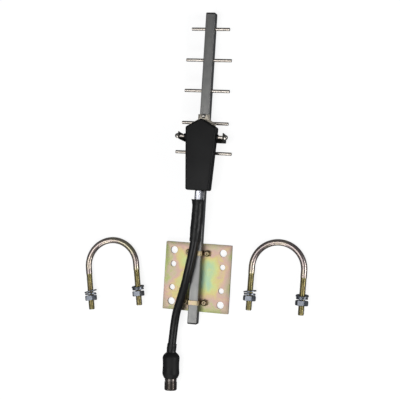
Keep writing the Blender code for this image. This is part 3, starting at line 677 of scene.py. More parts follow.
def strap_zinc():
    look = Look("strap_zinc", metallic=1.0)
    drift = look.noise(160, 4.0, 0.6, 0.6)
    tones = [(0.32, (0.36, 0.26, 0.21)), (0.5, (0.40, 0.33, 0.20)), (0.7, (0.25, 0.21, 0.09))]
    relief = look.noise(2200, 3.0)
    return look.finish(drift, tones, (0.2, 0.8, 0.24, 0.4), relief, 0.00002, 0.4)


def blue_zinc():
    """Bright zinc plating with a blue cast, on nuts and washers."""
    look = Look("blue_zinc", metallic=1.0)
    stain = look.noise(260, 5.0, 0.65)
    tones = [(0.3, (0.16, 0.175, 0.20)), (0.55, (0.27, 0.29, 0.33)), (0.8, (0.38, 0.40, 0.44))]
    relief = look.noise(1800, 3.0)
    return look.finish(stain, tones, (0.2, 0.8, 0.30, 0.46), relief, 0.00002, 0.4)


LOOKS = {
    maker.__name__: maker()
    for maker in (
        drawn_aluminium, yellow_zinc, bright_rod, dark_sheet, nickel_hardware, bracket_steel, black_plastic,
        cap_plastic, cable_jacket, heat_shrink, boot_rubber, ferrule_metal, jack_nickel, white_fluoropolymer,
        board_laminate, gasket_foam, gold_contact, bolt_zinc, bolt_thread, strap_zinc, blue_zinc,
    )
}


def settle(obj, body, node):
    """A finished piece: it stands for its CAD node and rides on its body."""
    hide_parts(node)
    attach(obj, body)
    return obj


# ---------------------------------------------------------------- camera and light


def make_camera():
    """The photograph's view: from above, turned a little to the right, with a slight roll."""
    data = bpy.data.cameras.new("camera")
    data.angle = CAMERA_ANGLE
    data.clip_start = 0.05
    data.clip_end = 10
    camera = bpy.data.objects.new("camera", data)
    bpy.context.scene.collection.objects.link(camera)
    back = Vector((math.sin(CAMERA_YAW), 0, math.cos(CAMERA_YAW)))
    right = Vector((math.cos(CAMERA_YAW), 0, -math.sin(CAMERA_YAW)))
    up = Vector((0, 1, 0))
    turned_right = right * math.cos(CAMERA_ROLL) + up * math.sin(CAMERA_ROLL)
    turned_up = up * math.cos(CAMERA_ROLL) - right * math.sin(CAMERA_ROLL)
    axes = Matrix((turned_right, turned_up, back)).transposed().to_4x4()
    camera.matrix_world = Matrix.Translation(CAMERA_TARGET + back * CAMERA_DISTANCE) @ axes
    bpy.context.scene.camera = camera


def area_light(name, place, target, size, power):
    data = bpy.data.lights.new(name, "AREA")
    data.shape = "RECTANGLE"
    data.size, data.size_y = size
    data.energy = power
    light = bpy.data.objects.new(name, data)
    bpy.context.scene.collection.objects.link(light)
    direction = Vector(target) - Vector(place)
    light.location = place
    light.rotation_euler = direction.to_track_quat("-Z", "Y").to_euler()
    return light


def make_stage():
    """A pale floor that shows almost no shadow, a dim surround and soft boxes above."""
    world = bpy.data.worlds.new("surround")
    bpy.context.scene.world = world
    world.use_nodes = True
    background = world.node_tree.nodes["Background"]
    background.inputs["Color"].default_value = (0.5, 0.52, 0.55, 1)
    background.inputs["Strength"].default_value = 0.24
    middle = (0.0, 0.08, 0.0)
    area_light("soft_top", (-0.36, -0.10, 1.35), middle, (0.7, 0.9), 5.0)
    area_light("soft_low", (-0.15, -1.25, 0.85), middle, (1.0, 0.35), 5.0)
    area_light("strip_right", (1.30, 0.05, 0.62), middle, (0.9, 0.30), 7.0)
    bm = bmesh.new()
    bmesh.ops.create_grid(bm, x_segments=1, y_segments=1, size=40.0)
    floor = as_object("floor", bm, floor_finish())
    floor.location.z = -0.0006
    floor.visible_glossy = False
    floor.visible_diffuse = False


def floor_finish():
    material = bpy.data.materials.new("floor_white")
    material.use_nodes = True
    tree = material.node_tree
    shader = tree.nodes["Principled BSDF"]
    shader.inputs["Base Color"].default_value = (0.35, 0.35, 0.35, 1)
    shader.inputs["Roughness"].default_value = 1.0
    shader.inputs["Specular IOR Level"].default_value = 0.0
    shader.inputs["Emission Color"].default_value = (1, 1, 1, 1)
    shader.inputs["Emission Strength"].default_value = 0.85
    return material


# ---------------------------------------------------------------- plate, straps, boom


def round_holes(places, axis, length):
    """Cutters for holes given as (middle, radius)."""
    return [drill_bit(middle, axis, radius, length) for middle, radius in places]


def make_plate():
    lowest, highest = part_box("mounting_plate")
    half = (highest.x - lowest.x) / 2
    outline = []
    corner = PLATE_CORNER
    for i, (sx, sy) in enumerate([(1, 1), (-1, 1), (-1, -1), (1, -1)]):
        outline += arc((sx * (half - corner), sy * (half - corner)), corner, 90 * i, 90 * i + 90, 5)
    rings = slab_rings(outline, 0.0, highest.z, 0.00035)
    plate = as_object("plate_fine", ring_mesh(rings), LOOKS["yellow_zinc"])
    holes = []
    for x, y, radius in PLATE_HOLES:
        for sx, sy in [(-1, -1), (1, -1), (-1, 1), (1, 1)]:
            holes.append(((sx * x, sy * y, highest.z / 2), radius))
    cut(plate, round_holes(holes, (0, 0, 1), 0.01), "plate_bits")
    soften(smooth(plate), 0.00025)
    settle(plate, CLAMP, "mounting_plate")


def strap_section(inner, outer, foot, low_z, top_z, thick, rounding):
    """The right half of a saddle strap's section, with round bends: inside line, then outside."""
    inside = arc((inner - rounding, top_z - thick - rounding), rounding, 90, 0, 4)
    inside += [(inner, low_z + thick)]
    inside += [(inner, low_z + 0.0006), (inner + 0.0006, low_z)]
    outside = [(foot, low_z), (foot, low_z + thick)]
    outside += arc((outer + 0.0008, low_z + thick + 0.0008), 0.0008, 270, 180, 4)
    outside += arc((outer - rounding - thick, top_z - rounding - thick), rounding + thick, 0, 90, 5)
    return inside + outside


def make_straps():
    for row in ("front", "rear"):
        node = f"boom_strap_{row}"
        lowest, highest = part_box(node)
        y = (lowest.y + highest.y) / 2
        right = strap_section(0.0063, 0.0075, highest.x, lowest.z, highest.z, 0.0012, 0.0009)
        outline = right + [(-x, z) for x, z in reversed(right)]
        edge = 0.0005
        rings = []
        for side, shrink in ((-1, 0.0004), (-1, 0.0001), (1, 0.0001), (1, 0.0004)):
            reach = (highest.y - lowest.y) / 2 - (0 if shrink > 0.0002 else edge)
            rings.append([(x, y + side * reach, z) for x, z in outline])
        strap = as_object(f"strap_{row}_fine", ring_mesh(rings), LOOKS["strap_zinc"])
        holes = [((sx * 0.0120, y, lowest.z), 0.0023) for sx in (-1, 1)]
        cut(strap, round_holes(holes, (0, 0, 1), 0.006), "strap_bits")
        soften(smooth(strap), 0.00035, 3)
        settle(strap, CLAMP, node)
        for side in ("left", "right"):
            make_strap_screw(row, side)


def make_strap_screw(row, side):
    washer = f"strap_washer_{row}_{side}"
    lowest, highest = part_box(washer)
    place = Matrix.Translation(((lowest.x + highest.x) / 2, (lowest.y + highest.y) / 2, 0))
    outer = (highest.x - lowest.x) / 2
    under = [(0.0023, lowest.z), (outer, lowest.z, 0.0002)]
    over = [(outer, highest.z, 0.0003), (0.0023, highest.z, 0.0001)]
    profile = rounded(under + over)
    piece = turned(f"{washer}_fine", profile, place, LOOKS["strap_zinc"], 48, closed=True)
    settle(piece, CLAMP, washer)

    screw = f"strap_screw_{row}_{side}"
    lowest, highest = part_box(screw)
    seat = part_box(washer)[1].z + GAP
    radius = 0.0039
    socket = 0.0013
    dome = [
        (0.0020, lowest.z),
        (0.0020, seat, 0.0001),
        (radius, seat, 0.0002),
        (radius, seat + 0.0010, 0.0012),
        (0.0026, highest.z, 0.0016),
        (socket + 0.0002, highest.z, 0.0003),
        (socket, highest.z - 0.0002, 0.0001),
        (socket, highest.z - 0.0016, 0.0001),
        (0.0002, highest.z - 0.0019),
    ]
    piece = turned(f"{screw}_fine", rounded(dome), place, LOOKS["strap_zinc"], 48)
    settle(piece, CLAMP, screw)


def square_ring(side, corner, y, middle_z, steps=5):
    half = side / 2 - corner
    ring = []
    for i, (sx, sz) in enumerate([(1, 1), (-1, 1), (-1, -1), (1, -1)]):
        for x, z in arc((sx * half, sz * half), corner, 90 * i, 90 * i + 90, steps):
            ring.append((x, y, z + middle_z))
    return ring


def make_boom():
    lowest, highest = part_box("boom_tube")
    side = highest.x - lowest.x
    middle_z = (highest.z + lowest.z) / 2
    wall = 0.001
    rings = []
    burr = 0.00015
    for y, back in ((lowest.y, burr), (lowest.y + burr, 0), (highest.y - burr, 0), (highest.y, burr)):
        rings.append(square_ring(side - 2 * back, 0.0009, y, middle_z))
    for y in (highest.y, lowest.y):
        rings.append(square_ring(side - 2 * wall, 0.0003, y, middle_z))
    boom = as_object("boom_fine", ring_mesh(rings, closed=True), LOOKS["drawn_aluminium"])
    bits = []
    for node in ELEMENTS:
        y = centre(node).y
        bits.append(drill_bit((0, y, middle_z), (1, 0, 0), 0.00225, 2 * side))
    for node in ("bracket_screw", "bracket_rivet"):
        spot = centre(node)
        bits.append(drill_bit((spot.x, spot.y, highest.z), (0, 0, 1), 0.0018, 0.003))
    spot = centre("dipole_strip_rivet")
    bits.append(drill_bit((spot.x, spot.y, lowest.z), (0, 0, 1), 0.0019, 0.003))
    cut(boom, bits, "boom_bits")
    soften(smooth(boom), 0.00012, 2)
    settle(boom, ANTENNA, "boom_tube")
    for node, inward in (("front_end_cap", -1), ("rear_end_cap", 1)):
        make_end_cap(node, inward, side, middle_z)


def make_end_cap(node, inward, side, middle_z):
    lowest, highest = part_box(node)
    face = highest.y if inward < 0 else lowest.y
    tail = lowest.y if inward < 0 else highest.y
    flange = 0.0015
    plug = side - 2 * 0.001 - 2 * GAP
    rings = []
    for back, shrink in ((0.0, 0.0012), (0.0001, 0.0006), (0.0005, 0.0001), (0.0008, 0.0), (flange, 0.0)):
        rings.append(square_ring(side - 2 * shrink, 0.0010, face + inward * back, middle_z))
    rings.append(square_ring(plug, 0.0005, face + inward * flange, middle_z))
    rings.append(square_ring(plug, 0.0005, tail - inward * 0.0006, middle_z))
    rings.append(square_ring(plug - 0.0008, 0.0005, tail, middle_z))
    cap = as_object(f"{node}_fine", ring_mesh(rings), LOOKS["cap_plastic"])
    settle(cap, ANTENNA, node)


def make_rods():
    """Every element and the dipole's two front rods: turned bars with rounded ends."""
    for node in (*ELEMENTS, "dipole_rod_left", "dipole_rod_right"):
        lowest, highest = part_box(node)
        spot = centre(node)
        half = (highest.x - lowest.x) / 2
        ends = [(0.0, -half), (ROD_RADIUS, -half, 0.0005), (ROD_RADIUS, half, 0.0005), (0.0, half)]
        profile = rounded(ends, steps=5)
        place = Matrix.Translation(spot) @ Matrix.Rotation(math.pi / 2, 4, "Y")
        piece = turned(f"{node}_fine", profile, place, LOOKS["bright_rod"], 48)
        settle(piece, ANTENNA, node)


# ---------------------------------------------------------------- dipole, bracket, housing


def strip_lean(z):
    return 0.1765 - 0.10 * (0.024 - z)


def make_dipole():
    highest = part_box("dipole_strip")[1]
    half = STRIP_THICK / 2
    tab = STRIP_TAB_X
    back = STRIP_BACK_Z
    corner = Vector((STRIP_CORNER_X, back))
    foot = Vector((tab, STRIP_TAB_FOOT))
    turn = STRIP_BEND
    line = [Vector((0.0, back)), Vector((corner.x - turn, back))]
    rise = (foot - corner).normalized()
    for k in range(1, 6):
        t = k / 6
        start = Vector((corner.x - turn, back))
        end = corner + rise * turn
        line.append(start * (1 - t) ** 2 + corner * 2 * t * (1 - t) + end * t**2)
    line += [corner + rise * turn, foot - rise * 0.001, foot + Vector((0, 0.001)), Vector((tab, highest.z))]
    outer = []
    inner = []
    ways = directions([Vector((p.x, p.y, 0)) for p in line])
    for point, way in zip(line, ways):
        normal = Vector((way.y, -way.x))
        outer.append(point + normal * half)
        inner.append(point - normal * half)
    right = outer + list(reversed(inner))
    outline = [(p.x, p.y) for p in right[:-1]] + [(-p.x, p.y) for p in reversed(right[1:-1])]
    rings = []
    for reach in (-STRIP_WIDTH / 2, STRIP_WIDTH / 2):
        rings.append([(x, strip_lean(z) + reach, z) for x, z in dedupe(outline)])
    strip = as_object("dipole_strip_fine", ring_mesh(rings), LOOKS["dark_sheet"])
    spot = centre("dipole_rod_left")
    bits = [drill_bit((0, spot.y, spot.z), (1, 0, 0), 0.0023, 0.08)]
    rivet = centre("dipole_strip_rivet")
    bits.append(drill_bit((0, rivet.y, back), (0, 0, 1), 0.0019, 0.005))
    cut(strip, bits, "strip_bits")
    soften(smooth(strip), 0.0002)
    settle(strip, ANTENNA, "dipole_strip")

    rivet_profile = [
        (0.0, 0.0005),
        (0.0022, 0.0005, 0.0002),
        (0.0030, 0.0012, 0.0005),
        (0.0030, 0.0015, 0.0001),
        (0.0016, 0.0015, 0.0001),
        (0.0016, 0.0046, 0.0001),
        (0.0024, 0.0049, 0.0002),
        (0.0024, 0.0062, 0.0004),
        (0.0014, 0.0066, 0.0002),
        (0.0, 0.0064),
    ]
    place = Matrix.Translation((0, rivet.y, 0))
    piece = turned("dipole_strip_rivet_fine", rounded(rivet_profile), place, LOOKS["nickel_hardware"], 40)
    settle(piece, ANTENNA, "dipole_strip_rivet")
    for name, side in (("left", -1), ("right", 1)):
        make_dome_nut(f"dipole_dome_nut_{name}", side)


def dedupe(points):
    result = []
    for point in points:
        if not result or (Vector(point) - Vector(result[-1])).length > 1e-6:
            result.append(point)
    return result


def make_dome_nut(node, side):
    """A small cap nut: hexagon base with broken corners, a round dome, and the rod's bore."""
    lowest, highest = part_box(node)
    inner = lowest.x if side > 0 else highest.x
    reach = highest.x - lowest.x
    radius = (highest.z - lowest.z) / 2
    spot = centre(node)
    segments = 72
    rings = [circle(0.0023, 0.0021, segments), circle(0.0023, 0.0, segments)]
    for height, cone in ((0.0, 0.94), (0.0003, 1.0), (0.40 * reach, 1.0), (0.47 * reach, 0.94)):
        rings.append(hexagon(0.91 * radius, cone * radius, height, segments))
    for k in range(1, 9):
        angle = 0.5 * math.pi * k / 9
        height = 0.47 * reach + 0.53 * reach * math.sin(angle)
        rings.append(circle(0.86 * radius * math.cos(angle), height, segments))
    rings.append(circle(0.0001, reach, segments))
    turn = Matrix.Rotation(side * math.pi / 2, 4, "Y")
    place = Matrix.Translation((inner, spot.y, spot.z)) @ turn
    piece = as_object(f"{node}_fine", ring_mesh(moved(rings, place)), LOOKS["nickel_hardware"])
    settle(piece, ANTENNA, node)


def hexagon(half_flats, cone, height, segments):
    """A ring that is a hexagon cut back to a circle of radius cone, as a nut's corners are."""
    ring = []
    for i in range(segments):
        angle = 2 * math.pi * i / segments
        to_flat = (angle % (math.pi / 3)) - math.pi / 6
        radius = min(half_flats / math.cos(to_flat), cone)
        ring.append(Vector((radius * math.cos(angle), radius * math.sin(angle), height)))
    return ring


def housing_outline():
    """Five-sided outline with rounded bottom corners, soft shoulders and a soft apex."""
    corner = HOUSING_CORNER
    shoulder = Vector(HOUSING_SHOULDER)
    apex = Vector((0, HOUSING_APEX_Y))
    right = arc((HOUSING_BOTTOM_HALF - corner, HOUSING_BOTTOM_Y + corner), corner, -90, 0, 7)
    right += fillet(Vector(right[-1]), shoulder, apex, corner)
    top = fillet(shoulder, apex, Vector((-shoulder.x, shoulder.y)), corner)
    right += top[: len(top) // 2]
    return right + [top[len(top) // 2]] + [(-x, y) for x, y in reversed(right)]


def fillet(before, here, after, radius, steps=6):
    """An arc of that radius in place of a convex anticlockwise corner."""
    arriving = (here - before).normalized()
    leaving = (after - here).normalized()
    half_turn = arriving.angle(leaving) / 2
    inward = (leaving - arriving).normalized()
    middle = here + inward * radius / math.cos(half_turn)
    start = math.atan2(-arriving.x, arriving.y)
    points = []
    for k in range(steps + 1):
        angle = start + 2 * half_turn * k / steps
        points.append((middle.x + radius * math.cos(angle), middle.y + radius * math.sin(angle)))
    return points


def make_bracket():
    lowest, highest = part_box("feed_bracket")
    right = [(0.0125, 0.1140), (0.0155, 0.1780), (0.0155, 0.1930), (0.0075, 0.1980), (0.0075, 0.2043)]
    outline = right + [(-x, y) for x, y in reversed(right)]
    rings = slab_rings(outline, lowest.z, highest.z, 0.00015, 2)
    bracket = as_object("bracket_fine", ring_mesh(rings), LOOKS["bracket_steel"])
    middle = (lowest.z + highest.z) / 2
    screw = centre("bracket_screw")
    rivet = centre("bracket_rivet")
    holes = [((x, y, middle), 0.00155) for x, y in HOUSING_SCREWS]
    holes += [((screw.x, screw.y, middle), 0.0018), ((rivet.x, rivet.y, middle), 0.0019)]
    cut(bracket, round_holes(holes, (0, 0, 1), 0.004), "bracket_bits")
    soften(smooth(bracket), 0.0001)
    settle(bracket, ANTENNA, "feed_bracket")

    bottom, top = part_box("bracket_screw")
    seat = highest.z + GAP
    profile = [
        (0.0, bottom.z),
        (0.0012, bottom.z, 0.0002),
        (0.0015, bottom.z + 0.0004, 0.0002),
        (0.0015, seat, 0.0001),
        (0.0028, seat, 0.0002),
        (0.0028, seat + 0.0009, 0.0006),
        (0.0018, top.z, 0.0006),
        (0.0007, top.z, 0.0002),
        (0.0006, top.z - 0.0010, 0.0001),
        (0.0, top.z - 0.0011),
    ]
    place = Matrix.Translation((screw.x, screw.y, 0))
    piece = turned("bracket_screw_fine", rounded(profile), place, LOOKS["nickel_hardware"], 48)
    settle(piece, ANTENNA, "bracket_screw")
    settle_plain("bracket_rivet", "nickel_hardware")


def make_housing():
    outline = housing_outline()
    lowest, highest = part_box("housing_front")
    wall = 0.002
    edge = 0.0022
    inside = highest.z - wall
    rings = []

    def ring(distance, z):
        rings.append([(x, y, z) for x, y in inset(outline, distance)])

    ring(wall + 0.0004, inside)
    ring(wall, inside - 0.0004)
    ring(wall, lowest.z)
    ring(0.0002, lowest.z)
    ring(0.0, lowest.z + 0.0002)
    for k in range(9):
        angle = 0.5 * math.pi * k / 8
        ring(edge * (1 - math.cos(angle)), highest.z - edge * (1 - math.sin(angle)))
    shell = as_object("housing_front_fine", ring_mesh(rings), LOOKS["black_plastic"], 50)
    posts = []
    post_z = (lowest.z + inside) / 2 + 0.0003
    post_length = inside - lowest.z + 0.0006
    for x, y in HOUSING_SCREWS:
        posts.append(drill_bit((x, y, post_z), (0, 0, 1), 0.0026, post_length))
    rods = centre("dipole_rod_left")
    for side in (-1, 1):
        place = Matrix.Translation((0, rods.y, rods.z)) @ Matrix.Rotation(side * math.pi / 2, 4, "Y")
        profile = [(0.0034, 0.0178), (0.0034, 0.0215), (0.0033, 0.0217), (0.0031, 0.0218)]
        posts.append(ring_mesh(moved([circle(r, h, 48) for r, h in profile], place)))
    join(shell, posts)
    bits = [drill_bit((x, y, lowest.z + 0.002), (0, 0, 1), 0.00155, 0.0084) for x, y in HOUSING_SCREWS]
    bits.append(drill_bit((0, rods.y, rods.z), (1, 0, 0), 0.0023, 0.06))
    ferrule = centre("cable_ferrule")
    bits.append(drill_bit((ferrule.x, lowest.y, ferrule.z), (0, 1, 0), 0.0026, 0.008))
    cut(shell, bits, "housing_bits")
    smooth(shell, 40)
    settle(shell, ANTENNA, "housing_front")

    bottom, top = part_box("housing_back")
    rings = []
    spigot = 0.0018
    back_top = bottom.z + 0.002
    for k in range(4):
        angle = 0.5 * math.pi * k / 3
        ring(0.0006 * (1 - math.sin(angle)), bottom.z + 0.0006 * (1 - math.cos(angle)))
    ring(0.0, back_top)
    ring(spigot, back_top)
    ring(spigot, top.z)
    back = as_object("housing_back_fine", ring_mesh(rings), LOOKS["black_plastic"], 40)
    bits = [drill_bit((x, y, bottom.z), (0, 0, 1), 0.00155, 0.01) for x, y in HOUSING_SCREWS]
    rivet = centre("bracket_rivet")
    bits.append(drill_bit((rivet.x, rivet.y, bottom.z), (0, 0, 1), 0.0036, 0.01))
    cut(back, bits, "back_bits")
    smooth(back, 40)
    settle(back, ANTENNA, "housing_back")
    settle_plain("housing_gasket", "gasket_foam")
    settle_plain("balun_board", "board_laminate")
    settle_plain("feed_insulator", "white_fluoropolymer")
    for i in range(1, 5):
        make_housing_screw(f"housing_screw_{i}")


def join(obj, pieces):
    """Unites closed helper meshes with a piece, one by one."""
    for piece in pieces:
        bmesh.ops.recalc_face_normals(piece, faces=piece.faces)
        mesh = bpy.data.meshes.new("joined")
        piece.to_mesh(mesh)
        piece.free()
        tool = bpy.data.objects.new("joined", mesh)
        bpy.context.scene.collection.objects.link(tool)
        modifier = obj.modifiers.new("join", "BOOLEAN")
        modifier.operation = "UNION"
        modifier.object = tool
        modifier.solver = "EXACT"
        bake_modifiers(obj)
        bpy.data.objects.remove(tool, do_unlink=True)


def make_housing_screw(node):
    bottom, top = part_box(node)
    spot = centre(node)
    seat = bottom.z + 0.0016
    profile = [
        (0.0, bottom.z + 0.0008),
        (0.0008, bottom.z + 0.0008, 0.0001),
        (0.0010, bottom.z, 0.0001),
        (0.0016, bottom.z, 0.0004),
        (0.0024, bottom.z + 0.0006, 0.0004),
        (0.0024, seat, 0.0001),
        (0.00125, seat, 0.0001),
        (0.00125, top.z - 0.0004, 0.0001),
        (0.0009, top.z),
        (0.0, top.z),
    ]
    place = Matrix.Translation((spot.x, spot.y, 0))
    piece = turned(f"{node}_fine", rounded(profile), place, LOOKS["nickel_hardware"], 40)
    settle(piece, ANTENNA, node)


def settle_plain(node, look):
    """A CAD node that stays as it is, with a fine bevel and a procedural finish."""
    obj = frame["nodes"][node]
    obj.data.materials.clear()
    obj.data.materials.append(LOOKS[look])
    soften(obj, 0.0001)


# ---------------------------------------------------------------- cable, sleeves, jack


def make_ferrule():
    """Hexagon-crimped tube: a round neck in the housing, then six flats with softened corners."""
    lowest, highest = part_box("cable_ferrule")
    spot = centre("cable_ferrule")
    segments = 72
    neck = 0.0023
    radius = CABLE_DIAMETER / 2
    shoulder = highest.y - FERRULE_SHOULDER_Y
    length = highest.y - lowest.y
    rings = [circle(neck, 0.0, segments), circle(neck, shoulder, segments)]
    crimp = [(shoulder, 0.90), (shoulder + 0.0003, 0.97), (shoulder + 0.0008, 1.0), (length - 0.0016, 1.0)]
    for height, cone in crimp:
        rings.append(hexagon(0.90 * radius, cone * radius, height, segments))
    rings.append(circle(0.96 * radius, length - 0.0010, segments))
    rings.append(circle(0.97 * radius, length, segments))
    place = Matrix.Translation((spot.x, highest.y, spot.z)) @ Matrix.Rotation(math.pi / 2, 4, "X")
    spun = place @ Matrix.Rotation(math.radians(2), 4, "Z")
    piece = as_object("ferrule_fine", ring_mesh(moved(rings, spun)), LOOKS["ferrule_metal"], 24)
    return settle(piece, ANTENNA, "cable_ferrule")


def make_cable():
    """The free pigtail from the ferrule to the jack, in one piece that rides with the antenna."""
    curve = bpy.data.curves.new("cable", "CURVE")
    curve.dimensions = "3D"
    curve.bevel_depth = CABLE_DIAMETER / 2
    curve.bevel_resolution = 10
    curve.use_fill_caps = True
    points = smooth_route(CABLE_ROUTE, 8)
    spline = curve.splines.new("POLY")
    spline.points.add(len(points) - 1)
    for target, point in zip(spline.points, points):
        target.co = (*point, 1.0)
    spline.use_smooth = True
    curve.materials.append(LOOKS["cable_jacket"])
    cable = bpy.data.objects.new("cable_fine", curve)
    bpy.context.scene.collection.objects.link(cable)
    settle(cable, ANTENNA, "coax_cable")
    length = sum((b - a).length for a, b in zip(points, points[1:]))
    return cable, length


def wobble(y, angle):
    """Small lumps of a shrunk tube, from a few waves that don't repeat together."""
    wave = math.sin(820 * y + 2.0 * angle) + 0.8 * math.sin(1430 * y - 3.0 * angle + 1.0)
    return 0.00009 * (wave + 0.7 * math.sin(5.0 * angle + 400 * y))


def sleeve_radius(y, angle):
    """Flared, ragged lip next to the ferrule, then a plain stretch, then a taper to the cable."""
    lip = max(0.0, 1.0 - (0.098 - y) / 0.007)
    taper = min(1.0, max(0.0, (0.060 - y) / 0.0143))
    radius = 0.0072 + (0.0084 - 0.0072) * lip**2 + (0.0061 - 0.0072) * taper
    ragged = 0.0004 * lip * math.sin(3.0 * angle + 0.6)
    return radius + ragged + wobble(y, angle)


def sleeve_piece(node, stations, radius_at, lowest):
    bore = CABLE_DIAMETER / 2 + GAP
    rings = sweep_rings(stations, radius_at, 64, lowest=lowest)
    first = sweep_rings([stations[0]], lambda k, a: radius_at(0, a) - 0.00035, 64, lowest=lowest)
    inner = sweep_rings(list(reversed(stations)), lambda k, a: bore, 64, lowest=lowest)
    bm = ring_mesh(first + rings + inner, closed=True)
    piece = as_object(f"{node}_fine", bm, LOOKS["heat_shrink"], 60)
    return settle(piece, ANTENNA, node)


def make_sleeves():
    route = smooth_route(CABLE_ROUTE, 8)
    exit_point = Vector(CABLE_ROUTE[0])
    top = [Vector((exit_point.x, 0.098 - 0.0007 * i, exit_point.z)) for i in range(6)]
    upper = top + [point for point in route if 0.0456 <= point.y < 0.0937]
    ways = directions(upper)
    stations = list(zip(upper, ways))
    floor_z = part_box("boom_tube")[1].z + GAP
    long_sleeve = sleeve_piece(
        "cable_sleeve", stations, lambda k, a: sleeve_radius(upper[k].y, a), floor_z
    )
    lower = [point for point in route if point.y <= -0.0850]
    stations = list(zip(lower, directions(lower)))
    short_sleeve = sleeve_piece(
        "cable_end_sleeve", stations, lambda k, a: 0.0060 + wobble(lower[k].y, a), 0.0
    )
    return [long_sleeve, short_sleeve]


def jack_frame():
    return along(JACK_START, JACK_DIRECTION)


def make_jack():
    """Rubber boot, threaded shell with a smooth nose, insulator and socket contact."""
    place = jack_frame()
    boot = rounded(
        [
            (0.0064, 0.0000),
            (0.0086, 0.0020, 0.0012),
            (0.0102, 0.0042, 0.0012),
            (0.0108, 0.0064, 0.0016),
            (0.0103, 0.0140, 0.0030),
            (0.0104, 0.0200, 0.0030),
            (0.0108, 0.0258, 0.0012),
            (0.0104, 0.0280, 0.0010),
            (0.0092, 0.0306, 0.0010),
            (0.0085, 0.0320, 0.0005),
            (0.0071, 0.0320, 0.0003),
            (0.0071, 0.0137, 0.0001),
            (0.0, 0.0137),
        ]
    )
    pieces = [turned("boot_fine", [(0.0, 0.0)] + boot, place, LOOKS["boot_rubber"], 72)]
    settle(pieces[0], ANTENNA, "connector_boot")

    segments = 72
    rings = [circle(r, h, segments) for r, h in ((0.0001, 0.0140), (0.0067, 0.0140), (0.0067, 0.0323))]
    rings += [circle(r, h, segments) for r, h in ((0.0073, 0.0323), (0.0075, 0.0325), (0.0075, 0.0353))]
    rings += [circle(r, h, segments) for r, h in ((0.0073, 0.0355), (0.0070, 0.0359), (0.0070, 0.0364))]
    steps = 90
    start, end = 0.0369, 0.0460
    for k in range(steps + 1):
        height = start + (end - start) * k / steps
        fade = min(1.0, (height - start) / JACK_PITCH, (end - height) / (0.6 * JACK_PITCH) + 0.15)
        ring = []
        for i in range(segments):
            angle = 2 * math.pi * i / segments
            depth = JACK_DEPTH * thread_wave(height / JACK_PITCH - angle / (2 * math.pi)) * fade
            radius = 0.00794 - depth
            ring.append(Vector((radius * math.cos(angle), radius * math.sin(angle), height)))
        rings.append(ring)
    nose = ((0.0076, 0.0462), (0.0072, 0.0470), (0.0044, 0.0470), (0.0041, 0.0467))
    mouth = ((0.0041, 0.0360), (0.0019, 0.0360), (0.0019, 0.0328), (0.0001, 0.0328))
    rings += [circle(r, h, segments) for r, h in nose + mouth]
    body = as_object("jack_fine", ring_mesh(moved(rings, place)), LOOKS["jack_nickel"], 30)
    pieces.append(settle(body, ANTENNA, "connector_body"))
    for node, look, slot in (
        ("connector_insulator", "white_fluoropolymer", "insulator_white"),
        ("connector_contact", "gold_contact", "contact_gold"),
    ):
        settle_plain(node, look)
        pieces.append(frame["nodes"][node])
    return pieces


# ---------------------------------------------------------------- U-bolts


def bolt_frame(side):
    """The U-bolt's own frame: X across the legs, Y towards the bend, origin at the bend's centre."""
    leg_axis = Vector(joint(f"{side}_bolt_left_nut_travel")["axis"]).normalized()
    left = Vector(joint(f"{side}_bolt_left_nut_spin")["pos_m"])
    right = Vector(joint(f"{side}_bolt_right_nut_spin")["pos_m"])
    across = (right - left).normalized()
    up = across.cross(leg_axis).normalized()
    origin = (left + right) / 2 + leg_axis * (LEG_LENGTH - NUT_FROM_END)
    axes = Matrix((across, leg_axis, up)).transposed().to_4x4()
    return Matrix.Translation(origin) @ axes


def bolt_stations():
    """Points and directions along the U-bolt with the distance to the nearer leg end."""
    stations = []
    leg_steps = round(THREADED_LENGTH / M8_PITCH * 10)
    for k in range(leg_steps + 1):
        s = THREADED_LENGTH * k / leg_steps
        stations.append((Vector((-BEND_RADIUS, s - LEG_LENGTH, 0)), Vector((0, 1, 0)), s))
    for s in (0.048, 0.051):
        stations.append((Vector((-BEND_RADIUS, s - LEG_LENGTH, 0)), Vector((0, 1, 0)), s))
    steps = 64
    for k in range(steps + 1):
        angle = math.pi * (1 - k / steps)
        point = Vector((BEND_RADIUS * math.cos(angle), BEND_RADIUS * math.sin(angle), 0))
        stations.append((point, Vector((math.sin(angle), -math.cos(angle), 0)), 1.0))
    mirrored = []
    for point, _, s in stations[: leg_steps + 3]:
        mirrored.append((Vector((-point.x, point.y, 0)), Vector((0, -1, 0)), s))
    return stations + list(reversed(mirrored))


def make_u_bolt(side):
    base = bolt_frame(side)
    stations = bolt_stations()
    segments = 24
    rings = []
    for point, way, s in stations:
        across = way.cross(Vector((0, 0, 1))).normalized()
        handed = 1 if way.y > 0 else -1
        ring = []
        for i in range(segments):
            angle = 2 * math.pi * i / segments
            radius = M8_RADIUS - 0.00004
            if s < THREADED_LENGTH:
                fade = min(1.0, (THREADED_LENGTH - s) / (1.5 * M8_PITCH))
                depth = M8_DEPTH * thread_wave(handed * (s / M8_PITCH) - angle / (2 * math.pi))
                radius -= depth * fade
                radius -= max(0.0, 0.0009 - s) * 0.9
            ring.append(point + across * math.cos(angle) * radius + UP * math.sin(angle) * radius)
        rings.append(ring)
    threaded = [s < THREADED_LENGTH for _, _, s in stations]
    bm = ring_mesh(moved(rings, base), material_of=lambda k: 1 if threaded[k] else 0)
    bm.faces.ensure_lookup_table()
    for face in bm.faces[:2]:
        face.material_index = 1
    looks = [LOOKS["bolt_zinc"], LOOKS["bolt_thread"]]
    bolt = as_object(f"{side}_u_bolt_fine", bm, looks, 40)
    settle(bolt, f"{side}_mast_bolt", f"{side}_u_bolt")
    for leg in ("left", "right"):
        make_leg_hardware(side, leg, base)


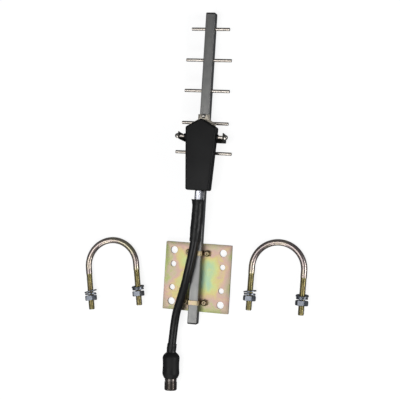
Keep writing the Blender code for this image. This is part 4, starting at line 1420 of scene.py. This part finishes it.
def make_leg_hardware(side, leg, base):
    """Nut, split washer and flat washer, each a fine copy of the CAD piece in its lean."""
    stem = f"{side}_bolt_{leg}"
    segments = 72
    half = NUT_THICK / 2
    flats = NUT_FLATS / 2
    rings = [circle(NUT_BORE, half - 0.0006, segments), circle(NUT_MOUTH, half, segments)]
    for drop, cone in NUT_CHAMFER:
        rings.append(hexagon(flats, cone, half - drop, segments))
    for drop, cone in reversed(NUT_CHAMFER):
        rings.append(hexagon(flats, cone, drop - half, segments))
    rings += [circle(NUT_MOUTH, -half, segments), circle(NUT_BORE, 0.0006 - half, segments)]
    place = piece_frame(f"{stem}_nut", base, 0.0, 0.0)
    nut = as_object(f"{stem}_nut_fine", ring_mesh(moved(rings, place), closed=True), LOOKS["blue_zinc"], 24)
    settle(nut, f"{stem}_nut", f"{stem}_nut")

    washer = rounded(
        [(0.0043, -0.0008), (0.0080, -0.0008, 0.0003), (0.0080, 0.0008, 0.0005), (0.0043, 0.0008, 0.0002)]
    )
    place = piece_frame(f"{stem}_flat_washer", base, *LEANS[leg]["flat_washer"])
    piece = turned(f"{stem}_flat_washer_fine", washer, place, LOOKS["blue_zinc"], 72, closed=True)
    settle(piece, f"{stem}_washers", f"{stem}_flat_washer")

    rings = []
    steps = 72
    opening = math.radians(9)
    for k in range(steps + 1):
        share = k / steps
        angle = opening / 2 + (2 * math.pi - opening) * share
        rise = 0.0008 * (share - 0.5)
        section = rounded(
            [(0.00435, -0.0010), (0.0073, -0.0010, 0.0003), (0.0073, 0.0010, 0.0003), (0.00435, 0.0010)], 3
        )
        rings.append([Vector((r * math.cos(angle), r * math.sin(angle), z + rise)) for r, z in section])
    place = piece_frame(f"{stem}_spring_washer", base, *LEANS[leg]["spring_washer"])
    spring = as_object(f"{stem}_spring_washer_fine", ring_mesh(moved(rings, place)), LOOKS["blue_zinc"])
    settle(spring, f"{stem}_washers", f"{stem}_spring_washer")


def piece_frame(node, base, lean_back, lean_aside):
    """A loose piece's frame: at its CAD node's centre, turned as the CAD piece is."""
    turn = Euler((math.radians(lean_back - 90), 0, math.radians(lean_aside))).to_matrix().to_4x4()
    return Matrix.Translation(centre(node)) @ base.to_3x3().to_4x4() @ turn


# ---------------------------------------------------------------- the whole


def main():
    make_camera()
    make_stage()
    cable, length = make_cable()
    ferrule = make_ferrule()
    sleeves = make_sleeves()
    jack = make_jack()
    make_plate()
    make_straps()
    make_boom()
    make_rods()
    make_dipole()
    make_bracket()
    make_housing()
    for side in ("left", "right"):
        make_u_bolt(side)
    bpy.context.scene.view_settings.view_transform = "Standard"


main()
